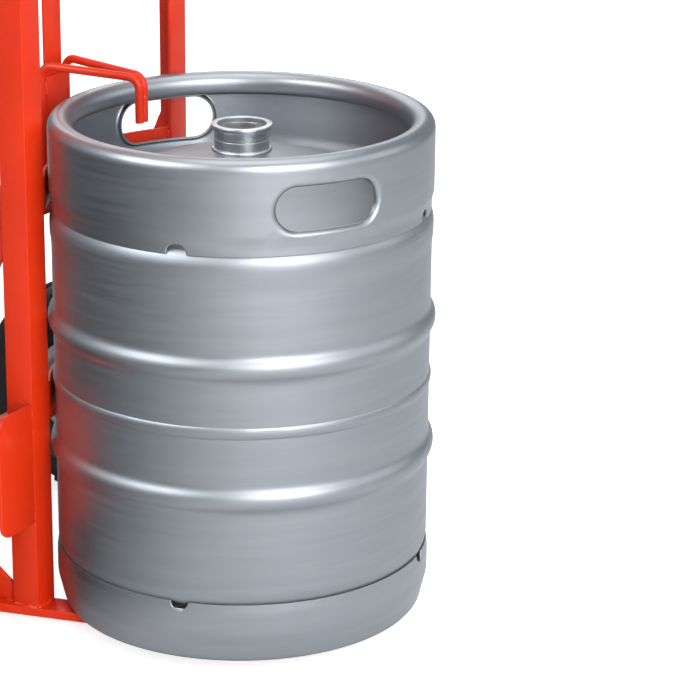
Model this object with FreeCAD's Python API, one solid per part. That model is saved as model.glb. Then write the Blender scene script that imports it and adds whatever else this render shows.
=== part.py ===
"""Upright trolley for beverage kegs, with the 50 litre keg that its hook holds.

The frame is welded from angle iron and flat bar. A hook on two rods slides on a
flat rail and reaches over the keg's rim. Lengths are in millimetres. +Z is up,
-Y is the front, where the keg stands, and +X is to the right seen from the front.
Shapes are drawn about the keg's axis, with the floor at z = 0, and are moved to
the row's origin, under the middle of the whole object, as they are written.
"""

import FreeCAD
import Part

import math
import os

# Keg, heights from its own foot
KEG_HEIGHT = 532.0
KEG_BODY_R = 198.5
KEG_RING_RISE = 5.5
KEG_WALL = 1.5
KEG_SEAM_Z = 252.0
KEG_LOWER_RING_Z = 179.0
KEG_UPPER_RING_Z = 318.0
KEG_RING_HALF = 17.0
KEG_SEAM_BEAD = 1.3
KEG_SEAM_BEAD_HALF = 3.5
DOME_TILT = 25.0
LOWER_DOME_Z = 11.4
LOWER_KNUCKLE_R = 29.0
SHOULDER_STEP = 1.5
SHOULDER_START_DROP = 134.0
SHOULDER_FLARE = 14.0
SHOULDER_ARC_DROP = 111.0
SHOULDER_BEND = 24.0
UPPER_DOME_R = 640.0
UPPER_DOME_TURN = 14.0
BEAD_STEP = 60.0

# Chimes, the rings that the keg stands on and is carried by
CHIME_WALL = 2.2
CHIME_STEP = 1.5
CHIME_SKIRT_INSET = 2.4
RIM_ROLL_R = 12.3
RIM_TUCK = 20.0
RIM_CURL = 8.0
SKIRT_STEP = 10.0
FOOT_CHIME_WALL_Z = 32.0
FOOT_TURN_INSET = 8.5
FOOT_ROLL = 13.0
FOOT_CURL = 11.0
HAND_HOLE_TURN = 34.0
HAND_HOLE_LENGTH = 118.0
HAND_HOLE_HEIGHT = 49.0
HAND_HOLE_DROP = 51.0
HAND_HOLE_LIP = 8.0
HAND_HOLE_LIP_WALL = 2.0
TOP_DRAIN_R = 11.5
FOOT_DRAIN_R = 10.0
DRAIN_TURN = 45.0

# Neck of the keg and the spear inside it
NECK_R = 28.75
NECK_BORE_R = 24.75
NECK_FLANGE_R = 32.0
NECK_FLANGE_T = 5.5
NECK_BELOW_RIM = 11.3
NECK_LENGTH = 44.0
NECK_WELD = 3.0
SPEAR_FIT = 0.05
SPEAR_DEPTH = 17.0
SPEAR_BODY_LENGTH = 30.0
SPEAR_SEAT_T = 4.0
SPEAR_SEAT_R = 17.0
SPEAR_TUBE_R = 11.0
SPEAR_TUBE_WALL = 1.0
SPEAR_END_GAP = 12.0
VALVE_R = 19.0
VALVE_T = 5.0
VALVE_TRAVEL = 6.0
VALVE_GAP = 0.1
VALVE_SEAT_GAP = 0.3
SPRING_WIRE_R = 1.1
SPRING_TURNS = 3

# Base of the frame
TOE_T = 10.0
TOE_WIDTH = 40.0
BAR_T = 10.0
BAR_WIDTH = 32.0
BAR_TAPER = 12.0
BAR_FRONT_Y = -95.0
BAR_TAIL = 38.5
KEG_SEAT_GAP = 0.3

# Uprights and plates
FRAME_HALF = 157.0
ANGLE_LEG = 32.0
ANGLE_T = 4.0
ANGLE_ROOT_R = 4.0
ANGLE_TOE_R = 2.0
UPRIGHT_TOP_Z = 1085.0
KEG_SIDE_GAP = 0.9
PLATE_T = 4.0
CRADLE_GAP = 4.5
CRADLE_HEIGHT = 40.0
CRADLE_UPPER_Z = 449.0
CRADLE_LOWER_Z = 226.0
CRADLE_KINK_R = 8.0
CROSSBAR_Z = 900.0
GUARD_REACH = 60.0
GUARD_BOTTOM_Z = 119.0
GUARD_TOP_Z = 253.0
GUARD_CORNER_R = 16.0
BRACE_WIDTH = 32.0
BRACE_T = 5.0
BRACE_UPPER_Z = 451.0
BRACE_LOWER_Z = 34.0
BRACE_EYE_R = 22.0

# Handles
HANDLE_R = 12.5
HANDLE_WALL = 2.0
HANDLE_FOOT_Z = 955.0
HANDLE_BEND_R = 55.0
HANDLE_RISE_Z = 1095.0
HANDLE_TILT = 10.0
HANDLE_REACH = 128.0
GRIP_LENGTH = 116.0
GRIP_R = 16.5
GRIP_COLLAR_R = 21.0
GRIP_COLLAR_T = 5.0
GRIP_END_T = 4.0
GRIP_RIB_H = 1.2
GRIP_RIB_T = 3.0
GRIP_RIBS = 9

# Rail and hook
RAIL_WIDTH = 30.0
RAIL_T = 4.0
RAIL_BACK = 36.5
RAIL_BOTTOM_Z = 417.0
RAIL_TOP_Z = 930.0
STRAP_HEIGHT = 30.0
STRAP_BEND_R = 8.0
STRAP_FLAT_X = 104.0
STRAP_NOSE_X = 44.0
HOOK_ROD_R = 4.5
HOOK_BAR_RISE = 27.0
HOOK_REACH = 78.5
HOOK_TIP_DROP = 26.0
HOOK_DROP = 5.0
HOOK_BEND_R = 13.0
HOOK_LEG_GAP = 0.3
SLEEVE_WALL = 3.0
SLEEVE_PLAY = 0.5
SLEEVE_DROP = 43.0
SLEEVE_HEIGHT = 56.0

# Axle and wheels
AXLE_SETBACK = 176.5
AXLE_R = 10.0
AXLE_TUBE_R = 15.0
AXLE_TUBE_STANDOFF = 13.7
AXLE_END = 9.0
AXLE_CHAMFER = 1.5
WASHER_R = 18.0
WASHER_T = 2.5
WASHER_PLAY = 0.1
HUB_PLAY = 0.3
PIN_R = 1.9
PIN_HOLE_R = 2.1
PIN_LENGTH = 32.0
PIN_LOOP_R = 4.5
TYRE_R = 130.0
TYRE_WIDTH = 85.0
TYRE_WALL = 6.0
TYRE_CLEAR = 18.0
BEAD_X = 20.0
BEAD_RISE_R = 64.0
BEAD_HEEL_PLAY = 0.5
BELLY_R = 84.0
TYRE_BEAD_BEND = 7.0
TYRE_BELLY_BEND = 22.0
TYRE_SHOULDER_BEND = 9.0
TYRE_CROWN_BEND = 60.0
LUG_HEIGHT = 6.0
LUG_PITCHES = 22
LUG_GROOVE = 11.0
LUG_SLANT = 24.0
LUG_RIB = 5.0
TUBE_WALL = 2.0
TUBE_HALF = 24.0
TUBE_BOTTOM_R = 78.0
TUBE_DROP = 1.6
TUBE_ROUND = 0.85
RIM_SEAT_R = 50.5
RIM_WALL = 2.5
RIM_FLANGE_R = 60.0
RIM_DISC_R = 44.5
RIM_DROP_X = 8.0
RIM_DISC_BEND = 4.0
RIM_EDGE_BEND = 3.0
HUB_LENGTH = 88.0
HUB_R = 27.0
HUB_FLANGE_INSET = 2.5
HUB_FLANGE_T = 4.0
BEARING_R = 23.5
BEARING_T = 14.0
BEARING_FIT = 0.05
BEARING_STEP = 1.0
BEARING_RACE = 3.5
HUB_SHOULDER_R = 19.0
BOLT_CIRCLE_R = 35.0
BOLT_R = 4.0
BOLT_HOLE_R = 4.2
BOLT_HEAD_R = 7.5
BOLT_HEAD_T = 5.3
BOLT_COUNT = 4
VALVE_STEM_R = 3.5
VALVE_STEM_LENGTH = 26.0
VALVE_STEM_CLEAR = 0.5

# Worked out from the sizes above
BASE_TOP_Z = TOE_T + BAR_T
KEG_FOOT_Z = BASE_TOP_Z + KEG_SEAT_GAP
KEG_TOP_Z = KEG_FOOT_Z + KEG_HEIGHT
KEG_RING_R = KEG_BODY_R + KEG_RING_RISE
SHOULDER_R = KEG_BODY_R + SHOULDER_STEP
SHOULDER_START_Z = KEG_HEIGHT - SHOULDER_START_DROP
SHOULDER_ARC_Z = KEG_HEIGHT - SHOULDER_ARC_DROP
CHIME_R = KEG_BODY_R + CHIME_STEP
CHIME_SKIRT_R = CHIME_R - CHIME_SKIRT_INSET
FOOT_TURN_R = CHIME_R - FOOT_TURN_INSET
UPRIGHT_Y = math.sqrt((KEG_RING_R + KEG_SIDE_GAP) ** 2 - (FRAME_HALF - ANGLE_LEG) ** 2)
FLANGE_BACK_Y = UPRIGHT_Y + ANGLE_T
UPRIGHT_REAR_Y = UPRIGHT_Y + ANGLE_LEG
INNER_X = FRAME_HALF - ANGLE_T
PLATE_END_X = INNER_X - ANGLE_ROOT_R
CRADLE_R = KEG_BODY_R + CRADLE_GAP
BAR_REAR_Y = UPRIGHT_REAR_Y + BAR_TAIL
RAIL_Y = UPRIGHT_REAR_Y + RAIL_BACK
STRAP_BOTTOM_Z = RAIL_BOTTOM_Z
STRAP_TOP_Z = RAIL_TOP_Z - STRAP_HEIGHT
SLEEVE_HALF_X = RAIL_WIDTH / 2 + SLEEVE_PLAY + SLEEVE_WALL
LEG_X = SLEEVE_HALF_X + HOOK_ROD_R
LEG_Y = RAIL_Y + RAIL_T / 4
SLEEVE_BOTTOM_Z = KEG_TOP_Z - SLEEVE_DROP
HOOK_BAR_Z = KEG_TOP_Z + HOOK_BAR_RISE
HOOK_TIP_Y = CHIME_R - HOOK_REACH
HOOK_TIP_Z = KEG_TOP_Z - HOOK_TIP_DROP
AXLE_Y = UPRIGHT_Y + AXLE_SETBACK
AXLE_Z = TYRE_R
TYRE_INNER_X = FRAME_HALF + TYRE_CLEAR
WHEEL_X = TYRE_INNER_X + TYRE_WIDTH / 2
HUB_INNER_X = WHEEL_X - HUB_LENGTH / 2
HUB_OUTER_X = WHEEL_X + HUB_LENGTH / 2
AXLE_TUBE_X = HUB_INNER_X - HUB_PLAY - WASHER_T
PIN_X = HUB_OUTER_X + HUB_PLAY + WASHER_T + PIN_R
AXLE_HALF = PIN_X + AXLE_END
HUB_FLANGE_R = RIM_DISC_R - HUB_FLANGE_INSET
ORIGIN_Y = (AXLE_Y + TYRE_R - KEG_RING_R) / 2

PARTS = "parts"
UP = FreeCAD.Vector(0, 0, 1)
ALONG_X = FreeCAD.Vector(1, 0, 0)
ALONG_Y = FreeCAD.Vector(0, 1, 0)
CENTRE = FreeCAD.Vector(0, 0, 0)
SIDES = (("left", -1), ("right", 1))


def vec(x, y, z):
    """Return a point or direction."""
    return FreeCAD.Vector(x, y, z)


def plan_point(u, v):
    """Put a drawing point on the floor plane."""
    return vec(u, v, 0)


def profile_point(u, v):
    """Put a drawing point of a turned profile on the plane of X and Z."""
    return vec(u, 0, v)


def side_point(u, v):
    """Put a drawing point on the plane of Y and Z."""
    return vec(0, u, v)


def box(x0, x1, y0, y1, z0, z1):
    """Return a block between two corners."""
    return Part.makeBox(x1 - x0, y1 - y0, z1 - z0, vec(x0, y0, z0))


def rod(radius, start, end):
    """Return a round bar from one point to another."""
    run = end - start
    return Part.makeCylinder(radius, run.Length, start, run)


def mirrored(shape, side):
    """Return the shape as drawn for the right side, or its mirror image."""
    if side > 0:
        return shape
    return shape.mirror(CENTRE, ALONG_X)


def outline_face(points, place):
    """Return the flat face inside straight lines through the points."""
    corners = [place(u, v) for u, v in points]
    return Part.Face(Part.makePolygon(corners + corners[:1]))


def bend_frames(points, radii):
    """Return the start, end, centre and turn sense of each bend of a centreline."""
    frames = []
    for before, corner, after, radius in zip(points, points[1:], points[2:], radii):
        d_in = FreeCAD.Vector(corner[0] - before[0], corner[1] - before[1], 0).normalize()
        d_out = FreeCAD.Vector(after[0] - corner[0], after[1] - corner[1], 0).normalize()
        turn = math.atan2(d_in.x * d_out.y - d_in.y * d_out.x, d_in.dot(d_out))
        reach = radius * math.tan(abs(turn) / 2)
        middle = FreeCAD.Vector(corner[0], corner[1], 0)
        start = middle - d_in * reach
        end = middle + d_out * reach
        sense = 1 if turn > 0 else -1
        centre = start + FreeCAD.Vector(-d_in.y, d_in.x, 0) * (sense * radius)
        frames.append((start, end, centre, sense, radius, d_in, d_out, middle))
    return frames


def strip_face(points, radii, thickness, place):
    """Return the face of a strip of even thickness along a bent centreline."""
    half = thickness / 2
    frames = bend_frames(points, radii)
    first = FreeCAD.Vector(points[0][0], points[0][1], 0)
    last = FreeCAD.Vector(points[-1][0], points[-1][1], 0)
    d_first = (FreeCAD.Vector(points[1][0], points[1][1], 0) - first).normalize()
    d_last = (last - FreeCAD.Vector(points[-2][0], points[-2][1], 0)).normalize()
    chains = []
    for hand in (1, -1):
        def shifted(point, direction):
            return point + FreeCAD.Vector(-direction.y, direction.x, 0) * (hand * half)
        chain = []
        here = shifted(first, d_first)
        for start, end, centre, sense, radius, d_in, d_out, middle in frames:
            arc_start = shifted(start, d_in)
            arc_end = shifted(end, d_out)
            outward = (middle - centre).normalize()
            arc_middle = centre + outward * (radius - sense * hand * half)
            chain.append((here, arc_start))
            chain.append((arc_start, arc_middle, arc_end))
            here = arc_end
        chain.append((here, shifted(last, d_last)))
        chains.append(chain)
    ahead, back = chains
    pieces = ahead + [(ahead[-1][-1], back[-1][-1])]
    pieces += [tuple(reversed(piece)) for piece in reversed(back)]
    pieces += [(back[0][0], ahead[0][0])]
    edges = []
    for piece in pieces:
        spots = [place(point.x, point.y) for point in piece]
        if (spots[-1] - spots[0]).Length < 1e-4:
            continue
        if len(spots) == 2:
            edges.append(Part.LineSegment(*spots).toShape())
        else:
            edges.append(Part.Arc(*spots).toShape())
    return Part.Face(Part.Wire(edges))


def bent_strip(points, radii, thickness, z0, z1):
    """Return a flat bar on edge, bent along a centreline seen from above."""
    face = strip_face(points, radii, thickness, plan_point)
    face.translate(UP * z0)
    return face.extrude(UP * (z1 - z0))


def turned_z(face):
    """Return the profile turned once round the vertical axis."""
    return face.revolve(CENTRE, UP, 360)


def turned_x(face):
    """Return the profile turned once round the X axis."""
    return face.revolve(CENTRE, ALONG_X, 360)


def swept_tube(path, start, direction, outer, inner=0.0):
    """Return a round bar or tube that follows a path."""
    ring = Part.Wire(Part.makeCircle(outer, start, direction))
    solid = path.makePipeShell([ring], True, False)
    if inner:
        hole = Part.Wire(Part.makeCircle(inner, start, direction))
        solid = solid.cut(path.makePipeShell([hole], True, False))
    return solid


def bent_path(points, radius):
    """Return a path of straight runs joined by arcs of one radius."""
    edges = []
    here = points[0]
    for before, corner, after in zip(points, points[1:], points[2:]):
        d_in = (corner - before).normalize()
        d_out = (after - corner).normalize()
        turn = d_in.getAngle(d_out)
        reach = radius * math.tan(turn / 2)
        start = corner - d_in * reach
        end = corner + d_out * reach
        inward = (d_out - d_in).normalize()
        middle = corner + inward * (radius / math.cos(turn / 2) - radius)
        edges.append(Part.LineSegment(here, start).toShape())
        edges.append(Part.Arc(start, middle, end).toShape())
        here = end
    edges.append(Part.LineSegment(here, points[-1]).toShape())
    return Part.Wire(edges)


def rounded(shape, radius, is_edge):
    """Return the shape with the edges that a test picks rounded."""
    edges = [edge for edge in shape.Edges if is_edge(edge)]
    return shape.makeFillet(radius, edges)


def upright_edge(edge, x, y):
    """Say whether an edge stands upright at a place in the plan."""
    first, last = edge.Vertexes[0].Point, edge.Vertexes[-1].Point
    spots = [abs(point.x - x) < 0.01 and abs(point.y - y) < 0.01 for point in (first, last)]
    return all(spots) and abs(first.z - last.z) > 0.01


def write(node, shape):
    """Write one piece, moved to the row's origin, and print what it holds."""
    moved = shape.copy()
    moved.translate(vec(0, -ORIGIN_Y, 0))
    solids = moved.Solids
    result = solids[0] if len(solids) == 1 else Part.makeCompound(solids)
    result.exportStep(os.path.join(PARTS, node + ".step"))
    size = result.BoundBox
    spans = f"x {size.XMin:.0f}..{size.XMax:.0f} y {size.YMin:.0f}..{size.YMax:.0f} z {size.ZMin:.1f}..{size.ZMax:.1f}"
    print(f"{node:20s} solids {len(solids):2d} valid {result.isValid()} volume {result.Volume:9.0f} {spans}")


def bar_line(y, inset=0.0):
    """Return how far out a base bar's edge is at a place along the frame."""
    lean = math.radians(BAR_TAPER)
    return FRAME_HALF - inset / math.cos(lean) - (UPRIGHT_Y - y) * math.tan(lean)


def base_bar():
    """Return the right base bar, which runs inwards towards the toe."""
    lean = math.radians(BAR_TAPER)
    ahead = vec(-math.sin(lean), -math.cos(lean), 0)
    across = vec(-math.cos(lean), math.sin(lean), 0) * BAR_WIDTH
    length = (BAR_REAR_Y - BAR_FRONT_Y) / math.cos(lean)
    rear = vec(bar_line(BAR_REAR_Y), BAR_REAR_Y, TOE_T)
    corners = [rear, rear + ahead * length, rear + ahead * length + across, rear + across]
    return Part.Face(Part.makePolygon(corners + corners[:1])).extrude(UP * BAR_T)


def toe_crossbar():
    """Return the flat bar on the floor that ties the front of the base bars."""
    half = bar_line(BAR_FRONT_Y + TOE_WIDTH)
    front = BAR_FRONT_Y
    return box(-half, half, front, front + TOE_WIDTH, 0, TOE_T)


def upright():
    """Return the right upright, an angle iron with its corner to the front."""
    toe_x = FRAME_HALF - ANGLE_LEG
    outline = [(FRAME_HALF, UPRIGHT_Y), (toe_x, UPRIGHT_Y), (toe_x, FLANGE_BACK_Y),
               (INNER_X, FLANGE_BACK_Y),
               (INNER_X, UPRIGHT_REAR_Y), (FRAME_HALF, UPRIGHT_REAR_Y)]
    face = outline_face(outline, plan_point)
    face.translate(UP * BASE_TOP_Z)
    iron = face.extrude(UP * (UPRIGHT_TOP_Z - BASE_TOP_Z))
    iron = rounded(iron, ANGLE_ROOT_R, lambda edge: upright_edge(edge, INNER_X, FLANGE_BACK_Y))
    toes = ((toe_x, FLANGE_BACK_Y), (INNER_X, UPRIGHT_REAR_Y))
    return rounded(iron, ANGLE_TOE_R, lambda edge: any(upright_edge(edge, *toe) for toe in toes))


def cradle(z0):
    """Return a cross plate that curves round the keg, welded behind the uprights."""
    inner, outer = CRADLE_R, CRADLE_R + PLATE_T
    inner_x = math.sqrt(inner ** 2 - FLANGE_BACK_Y ** 2)
    outer_x = math.sqrt(outer ** 2 - (FLANGE_BACK_Y + PLATE_T) ** 2)
    front, back = FLANGE_BACK_Y, FLANGE_BACK_Y + PLATE_T
    plan = [(PLATE_END_X, front), (inner_x, front), (-inner_x, front), (-PLATE_END_X, front),
            (-PLATE_END_X, back), (-outer_x, back), (outer_x, back), (PLATE_END_X, back)]
    spots = [vec(x, y, z0) for x, y in plan]
    edges = [Part.LineSegment(spots[0], spots[1]).toShape(),
             Part.Arc(spots[1], vec(0, inner, z0), spots[2]).toShape(),
             Part.LineSegment(spots[2], spots[3]).toShape(),
             Part.LineSegment(spots[3], spots[4]).toShape(),
             Part.LineSegment(spots[4], spots[5]).toShape(),
             Part.Arc(spots[5], vec(0, outer, z0), spots[6]).toShape(),
             Part.LineSegment(spots[6], spots[7]).toShape(),
             Part.LineSegment(spots[7], spots[0]).toShape()]
    plate = Part.Face(Part.Wire(edges)).extrude(UP * CRADLE_HEIGHT)
    kinks = [(inner_x, front), (-inner_x, front)]
    plate = rounded(plate, CRADLE_KINK_R, lambda edge: any(upright_edge(edge, *kink) for kink in kinks))
    kinks = [(outer_x, back), (-outer_x, back)]
    return rounded(plate, CRADLE_KINK_R, lambda edge: any(upright_edge(edge, *kink) for kink in kinks))


def rail_strap(z0, end_x):
    """Return a strap that holds the rail off the back of the uprights."""
    back = UPRIGHT_REAR_Y + PLATE_T / 2
    nose = RAIL_Y - PLATE_T / 2
    points = [(-end_x, back), (-STRAP_FLAT_X, back), (-STRAP_NOSE_X, nose), (STRAP_NOSE_X, nose),
              (STRAP_FLAT_X, back), (end_x, back)]
    return bent_strip(points, [STRAP_BEND_R] * 4, PLATE_T, z0, z0 + STRAP_HEIGHT)


def guard_plate():
    """Return the right wheel guard, flush with the upright's front face."""
    plate = box(FRAME_HALF, FRAME_HALF + GUARD_REACH, UPRIGHT_Y, UPRIGHT_Y + PLATE_T, GUARD_BOTTOM_Z,
                GUARD_TOP_Z)

    def outer_corner(edge):
        points = [vertex.Point for vertex in edge.Vertexes]
        level = all(abs(point.x - FRAME_HALF - GUARD_REACH) < 0.01 for point in points)
        return level and abs(points[0].z - points[1].z) < 0.01
    return rounded(plate, GUARD_CORNER_R, outer_corner)


def brace_strip(join_z):
    """Return the outline of a brace from the axle to the upright, as a flat face."""
    axle = FreeCAD.Vector(AXLE_Y, AXLE_Z, 0)
    join = FreeCAD.Vector(UPRIGHT_REAR_Y, join_z, 0)
    run = (join - axle).normalize()
    far = join + run * (ANGLE_LEG * 4)
    side = FreeCAD.Vector(-run.y, run.x, 0) * (BRACE_WIDTH / 2)
    corners = [axle + side, far + side, far - side, axle - side]
    return outline_face([(corner.x, corner.y) for corner in corners], side_point)


def brace_block(face):
    """Return a brace face given its thickness and trimmed inside the angle iron."""
    solid = face.extrude(ALONG_X * BRACE_T)
    solid.translate(ALONG_X * (INNER_X - BRACE_T))
    keep = box(0, FRAME_HALF, FLANGE_BACK_Y + ANGLE_ROOT_R, AXLE_Y + BRACE_EYE_R, BASE_TOP_Z, UPRIGHT_TOP_Z)
    return solid.common(keep)


def axle_disc(radius):
    """Return a disc round the axle, in the plane of the braces."""
    return rod(radius, vec(INNER_X - BRACE_T, AXLE_Y, AXLE_Z), vec(INNER_X, AXLE_Y, AXLE_Z))


def upper_brace():
    """Return the right upper brace, with the eye that the axle tube goes through."""
    eye = axle_disc(BRACE_EYE_R)
    return brace_block(brace_strip(BRACE_UPPER_Z)).fuse(eye).cut(axle_disc(AXLE_TUBE_R)).removeSplitter()


def lower_brace():
    """Return the right lower brace, butted against the eye of the upper one."""
    return brace_block(brace_strip(BRACE_LOWER_Z - BRACE_WIDTH / 2)).cut(axle_disc(BRACE_EYE_R))


def handle_frame():
    """Return the points and direction that the handle and its grip follow."""
    x = INNER_X - HANDLE_R
    y = FLANGE_BACK_Y + HANDLE_R
    tilt = math.radians(HANDLE_TILT)
    along = vec(0, math.cos(tilt), math.sin(tilt))
    corner = vec(x, y, HANDLE_RISE_Z)
    end = corner + along * (HANDLE_REACH + HANDLE_BEND_R)
    return vec(x, y, HANDLE_FOOT_Z), corner, end, along


def handle():
    """Return the right handle, a bent tube in the corner of the angle iron."""
    foot, corner, end, _ = handle_frame()
    path = bent_path([foot, corner, end], HANDLE_BEND_R)
    return swept_tube(path, foot, UP, HANDLE_R, HANDLE_R - HANDLE_WALL)


def grip():
    """Return the right grip, a closed sleeve with a collar and ribs."""
    _, _, end, along = handle_frame()
    outline = [(0, HANDLE_R), (GRIP_LENGTH - GRIP_END_T, HANDLE_R), (GRIP_LENGTH - GRIP_END_T, 0),
               (GRIP_LENGTH, 0),
               (GRIP_LENGTH, GRIP_R), (GRIP_COLLAR_T, GRIP_R), (GRIP_COLLAR_T, GRIP_COLLAR_R),
               (0, GRIP_COLLAR_R)]
    sleeve = turned_x(outline_face(outline, profile_point))
    sleeve = rounded(sleeve, GRIP_END_T / 2, lambda edge: edge.BoundBox.XMin > GRIP_LENGTH - 0.01
                     and edge.BoundBox.YLength > GRIP_R)
    space = (GRIP_LENGTH - 3 * GRIP_COLLAR_T) / GRIP_RIBS
    ribs = []
    for index in range(GRIP_RIBS):
        x = GRIP_COLLAR_T * 2 + index * space
        ribs.append(rod(GRIP_R + GRIP_RIB_H, vec(x, 0, 0), vec(x + GRIP_RIB_T, 0, 0)).cut(
            rod(GRIP_R - GRIP_RIB_H, vec(x, 0, 0), vec(x + GRIP_RIB_T, 0, 0))))
    sleeve = sleeve.fuse(ribs).removeSplitter()
    start = end - along * (GRIP_LENGTH - GRIP_END_T)
    sleeve.Placement = FreeCAD.Placement(start, FreeCAD.Rotation(ALONG_X, along))
    return sleeve


def rail():
    """Return the flat rail that the hook slides on."""
    return box(-RAIL_WIDTH / 2, RAIL_WIDTH / 2, RAIL_Y, RAIL_Y + RAIL_T, RAIL_BOTTOM_Z, RAIL_TOP_Z)


def hook_sleeve():
    """Return the hook's sleeve, which fits round the rail."""
    front = RAIL_Y - SLEEVE_PLAY
    back = RAIL_Y + RAIL_T + SLEEVE_PLAY
    top = SLEEVE_BOTTOM_Z + SLEEVE_HEIGHT
    outer = box(-SLEEVE_HALF_X, SLEEVE_HALF_X, front - SLEEVE_WALL, back + SLEEVE_WALL, SLEEVE_BOTTOM_Z,
                top)
    half = RAIL_WIDTH / 2 + SLEEVE_PLAY
    return outer.cut(box(-half, half, front, back, SLEEVE_BOTTOM_Z, top))


def hook_rod():
    """Return the right hook rod: leg, run forward over the rim and tip."""
    foot = vec(LEG_X, LEG_Y, STRAP_BOTTOM_Z + STRAP_HEIGHT + HOOK_LEG_GAP)
    knee = vec(LEG_X, LEG_Y, HOOK_BAR_Z)
    nose = vec(HOOK_ROD_R, HOOK_TIP_Y, HOOK_BAR_Z - HOOK_DROP)
    tip = vec(HOOK_ROD_R, HOOK_TIP_Y, HOOK_TIP_Z)
    return swept_tube(bent_path([foot, knee, nose, tip], HOOK_BEND_R), foot, UP, HOOK_ROD_R)


def axle_tube():
    """Return the tube that carries the axle between the braces."""
    start, end = vec(-AXLE_TUBE_X, AXLE_Y, AXLE_Z), vec(AXLE_TUBE_X, AXLE_Y, AXLE_Z)
    return rod(AXLE_TUBE_R, start, end).cut(rod(AXLE_R, start, end))


def axle():
    """Return the axle, with a hole near each end for its split pin."""
    outline = [(-AXLE_HALF, 0), (-AXLE_HALF, AXLE_R - AXLE_CHAMFER), (-AXLE_HALF + AXLE_CHAMFER, AXLE_R),
               (AXLE_HALF - AXLE_CHAMFER, AXLE_R), (AXLE_HALF, AXLE_R - AXLE_CHAMFER), (AXLE_HALF, 0)]
    bar = turned_x(outline_face(outline, profile_point))
    for _, side in SIDES:
        x = side * PIN_X
        bar = bar.cut(rod(PIN_HOLE_R, vec(x, 0, -2 * AXLE_R), vec(x, 0, 2 * AXLE_R)))
    bar.translate(vec(0, AXLE_Y, AXLE_Z))
    return bar


def washer(x):
    """Return one axle washer with its inner face at a place along the axle."""
    start, end = vec(x, AXLE_Y, AXLE_Z), vec(x + WASHER_T, AXLE_Y, AXLE_Z)
    return rod(WASHER_R, start, end).cut(rod(AXLE_R + WASHER_PLAY, start, end))


def split_pin():
    """Return the right split pin, with its loop above the axle."""
    low = vec(PIN_X, AXLE_Y, AXLE_Z - PIN_LENGTH / 2)
    high = vec(PIN_X, AXLE_Y, AXLE_Z + PIN_LENGTH / 2)
    loop = Part.makeTorus(PIN_LOOP_R, PIN_R, high + UP * (PIN_LOOP_R - PIN_R / 2), ALONG_X)
    return rod(PIN_R, low, high).fuse(loop).removeSplitter()


def tyre_points():
    """Return the centreline of half the tyre's wall, from its bead to its crown."""
    crown = TYRE_R - LUG_HEIGHT - TYRE_WALL / 2
    belly = TYRE_WIDTH / 2 - TYRE_WALL / 2
    return [(BEAD_X, RIM_SEAT_R), (BEAD_X, BEAD_RISE_R), (belly, BELLY_R), (belly, crown - TYRE_WALL),
            (0, crown)]


def is_bead_heel(edge):
    """Say whether an edge of the tyre is the outer corner of a bead."""
    size = edge.BoundBox
    flat = size.XLength < 0.01 and abs(abs(size.XMin) - BEAD_X - TYRE_WALL / 2) < 0.01
    return flat and abs(size.ZMax - RIM_SEAT_R) < 0.01


def tyre():
    """Return the tyre: a hollow carcass with slanted blocks on its tread."""
    half = tyre_points()
    other = [(-x, r) for x, r in reversed(half[:-1])]
    half_bends = [TYRE_BEAD_BEND, TYRE_BELLY_BEND, TYRE_SHOULDER_BEND]
    radii = half_bends + [TYRE_CROWN_BEND] + half_bends[::-1]
    carcass = turned_x(strip_face(half + other, radii, TYRE_WALL, profile_point))
    heel = RIM_EDGE_BEND - RIM_WALL / 2 + BEAD_HEEL_PLAY
    carcass = rounded(carcass, heel, is_bead_heel)
    crown = TYRE_R - LUG_HEIGHT
    edge = TYRE_WIDTH / 2 - TYRE_WALL / 2
    base = crown - TYRE_WALL / 2
    band = turned_x(outline_face([(-edge, base), (edge, base), (edge, crown - TYRE_WALL / 3),
                                  (edge / 2, TYRE_R),
                                  (-edge / 2, TYRE_R), (-edge, crown - TYRE_WALL / 3)], profile_point))
    lift = crown - TYRE_WALL / 6
    cutters = []
    for index in range(LUG_PITCHES):
        for hand in (-1, 1):
            start = min(hand * LUG_RIB, hand * TYRE_WIDTH)
            block = Part.makeBox(TYRE_WIDTH - LUG_RIB, LUG_GROOVE, LUG_HEIGHT * 3,
                                 vec(start, -LUG_GROOVE / 2, lift))
            block.rotate(CENTRE, UP, hand * LUG_SLANT)
            block.rotate(CENTRE, ALONG_X, 360.0 / LUG_PITCHES * (index + (0.5 if hand > 0 else 0.0)))
            cutters.append(block)
    return carcass.fuse(band.cut(cutters)).removeSplitter()


def inner_tube():
    """Return the air tube, which lies against the inside of the tread."""
    top = TYRE_R - LUG_HEIGHT - TYRE_WALL - TUBE_DROP

    def ring(inset):
        low, high, half = TUBE_BOTTOM_R + inset, top - inset, TUBE_HALF - inset
        solid = turned_x(outline_face([(-half, low), (half, low), (half, high), (-half, high)],
                                      profile_point))
        corner = TUBE_ROUND * min(half, (high - low) / 2)
        return solid.makeFillet(corner, solid.Edges)
    return ring(0.0).cut(ring(TUBE_WALL))


def bolt_spots():
    """Return the angles of the bolts round a wheel."""
    return [360.0 / BOLT_COUNT * (index + 0.5) for index in range(BOLT_COUNT)]


def drilled(shape):
    """Return a wheel disc with its bolt holes."""
    for angle in bolt_spots():
        hole = rod(BOLT_HOLE_R, vec(-HUB_LENGTH, 0, BOLT_CIRCLE_R), vec(HUB_LENGTH, 0, BOLT_CIRCLE_R))
        hole.rotate(CENTRE, ALONG_X, angle)
        shape = shape.cut(hole)
    return shape


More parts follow.
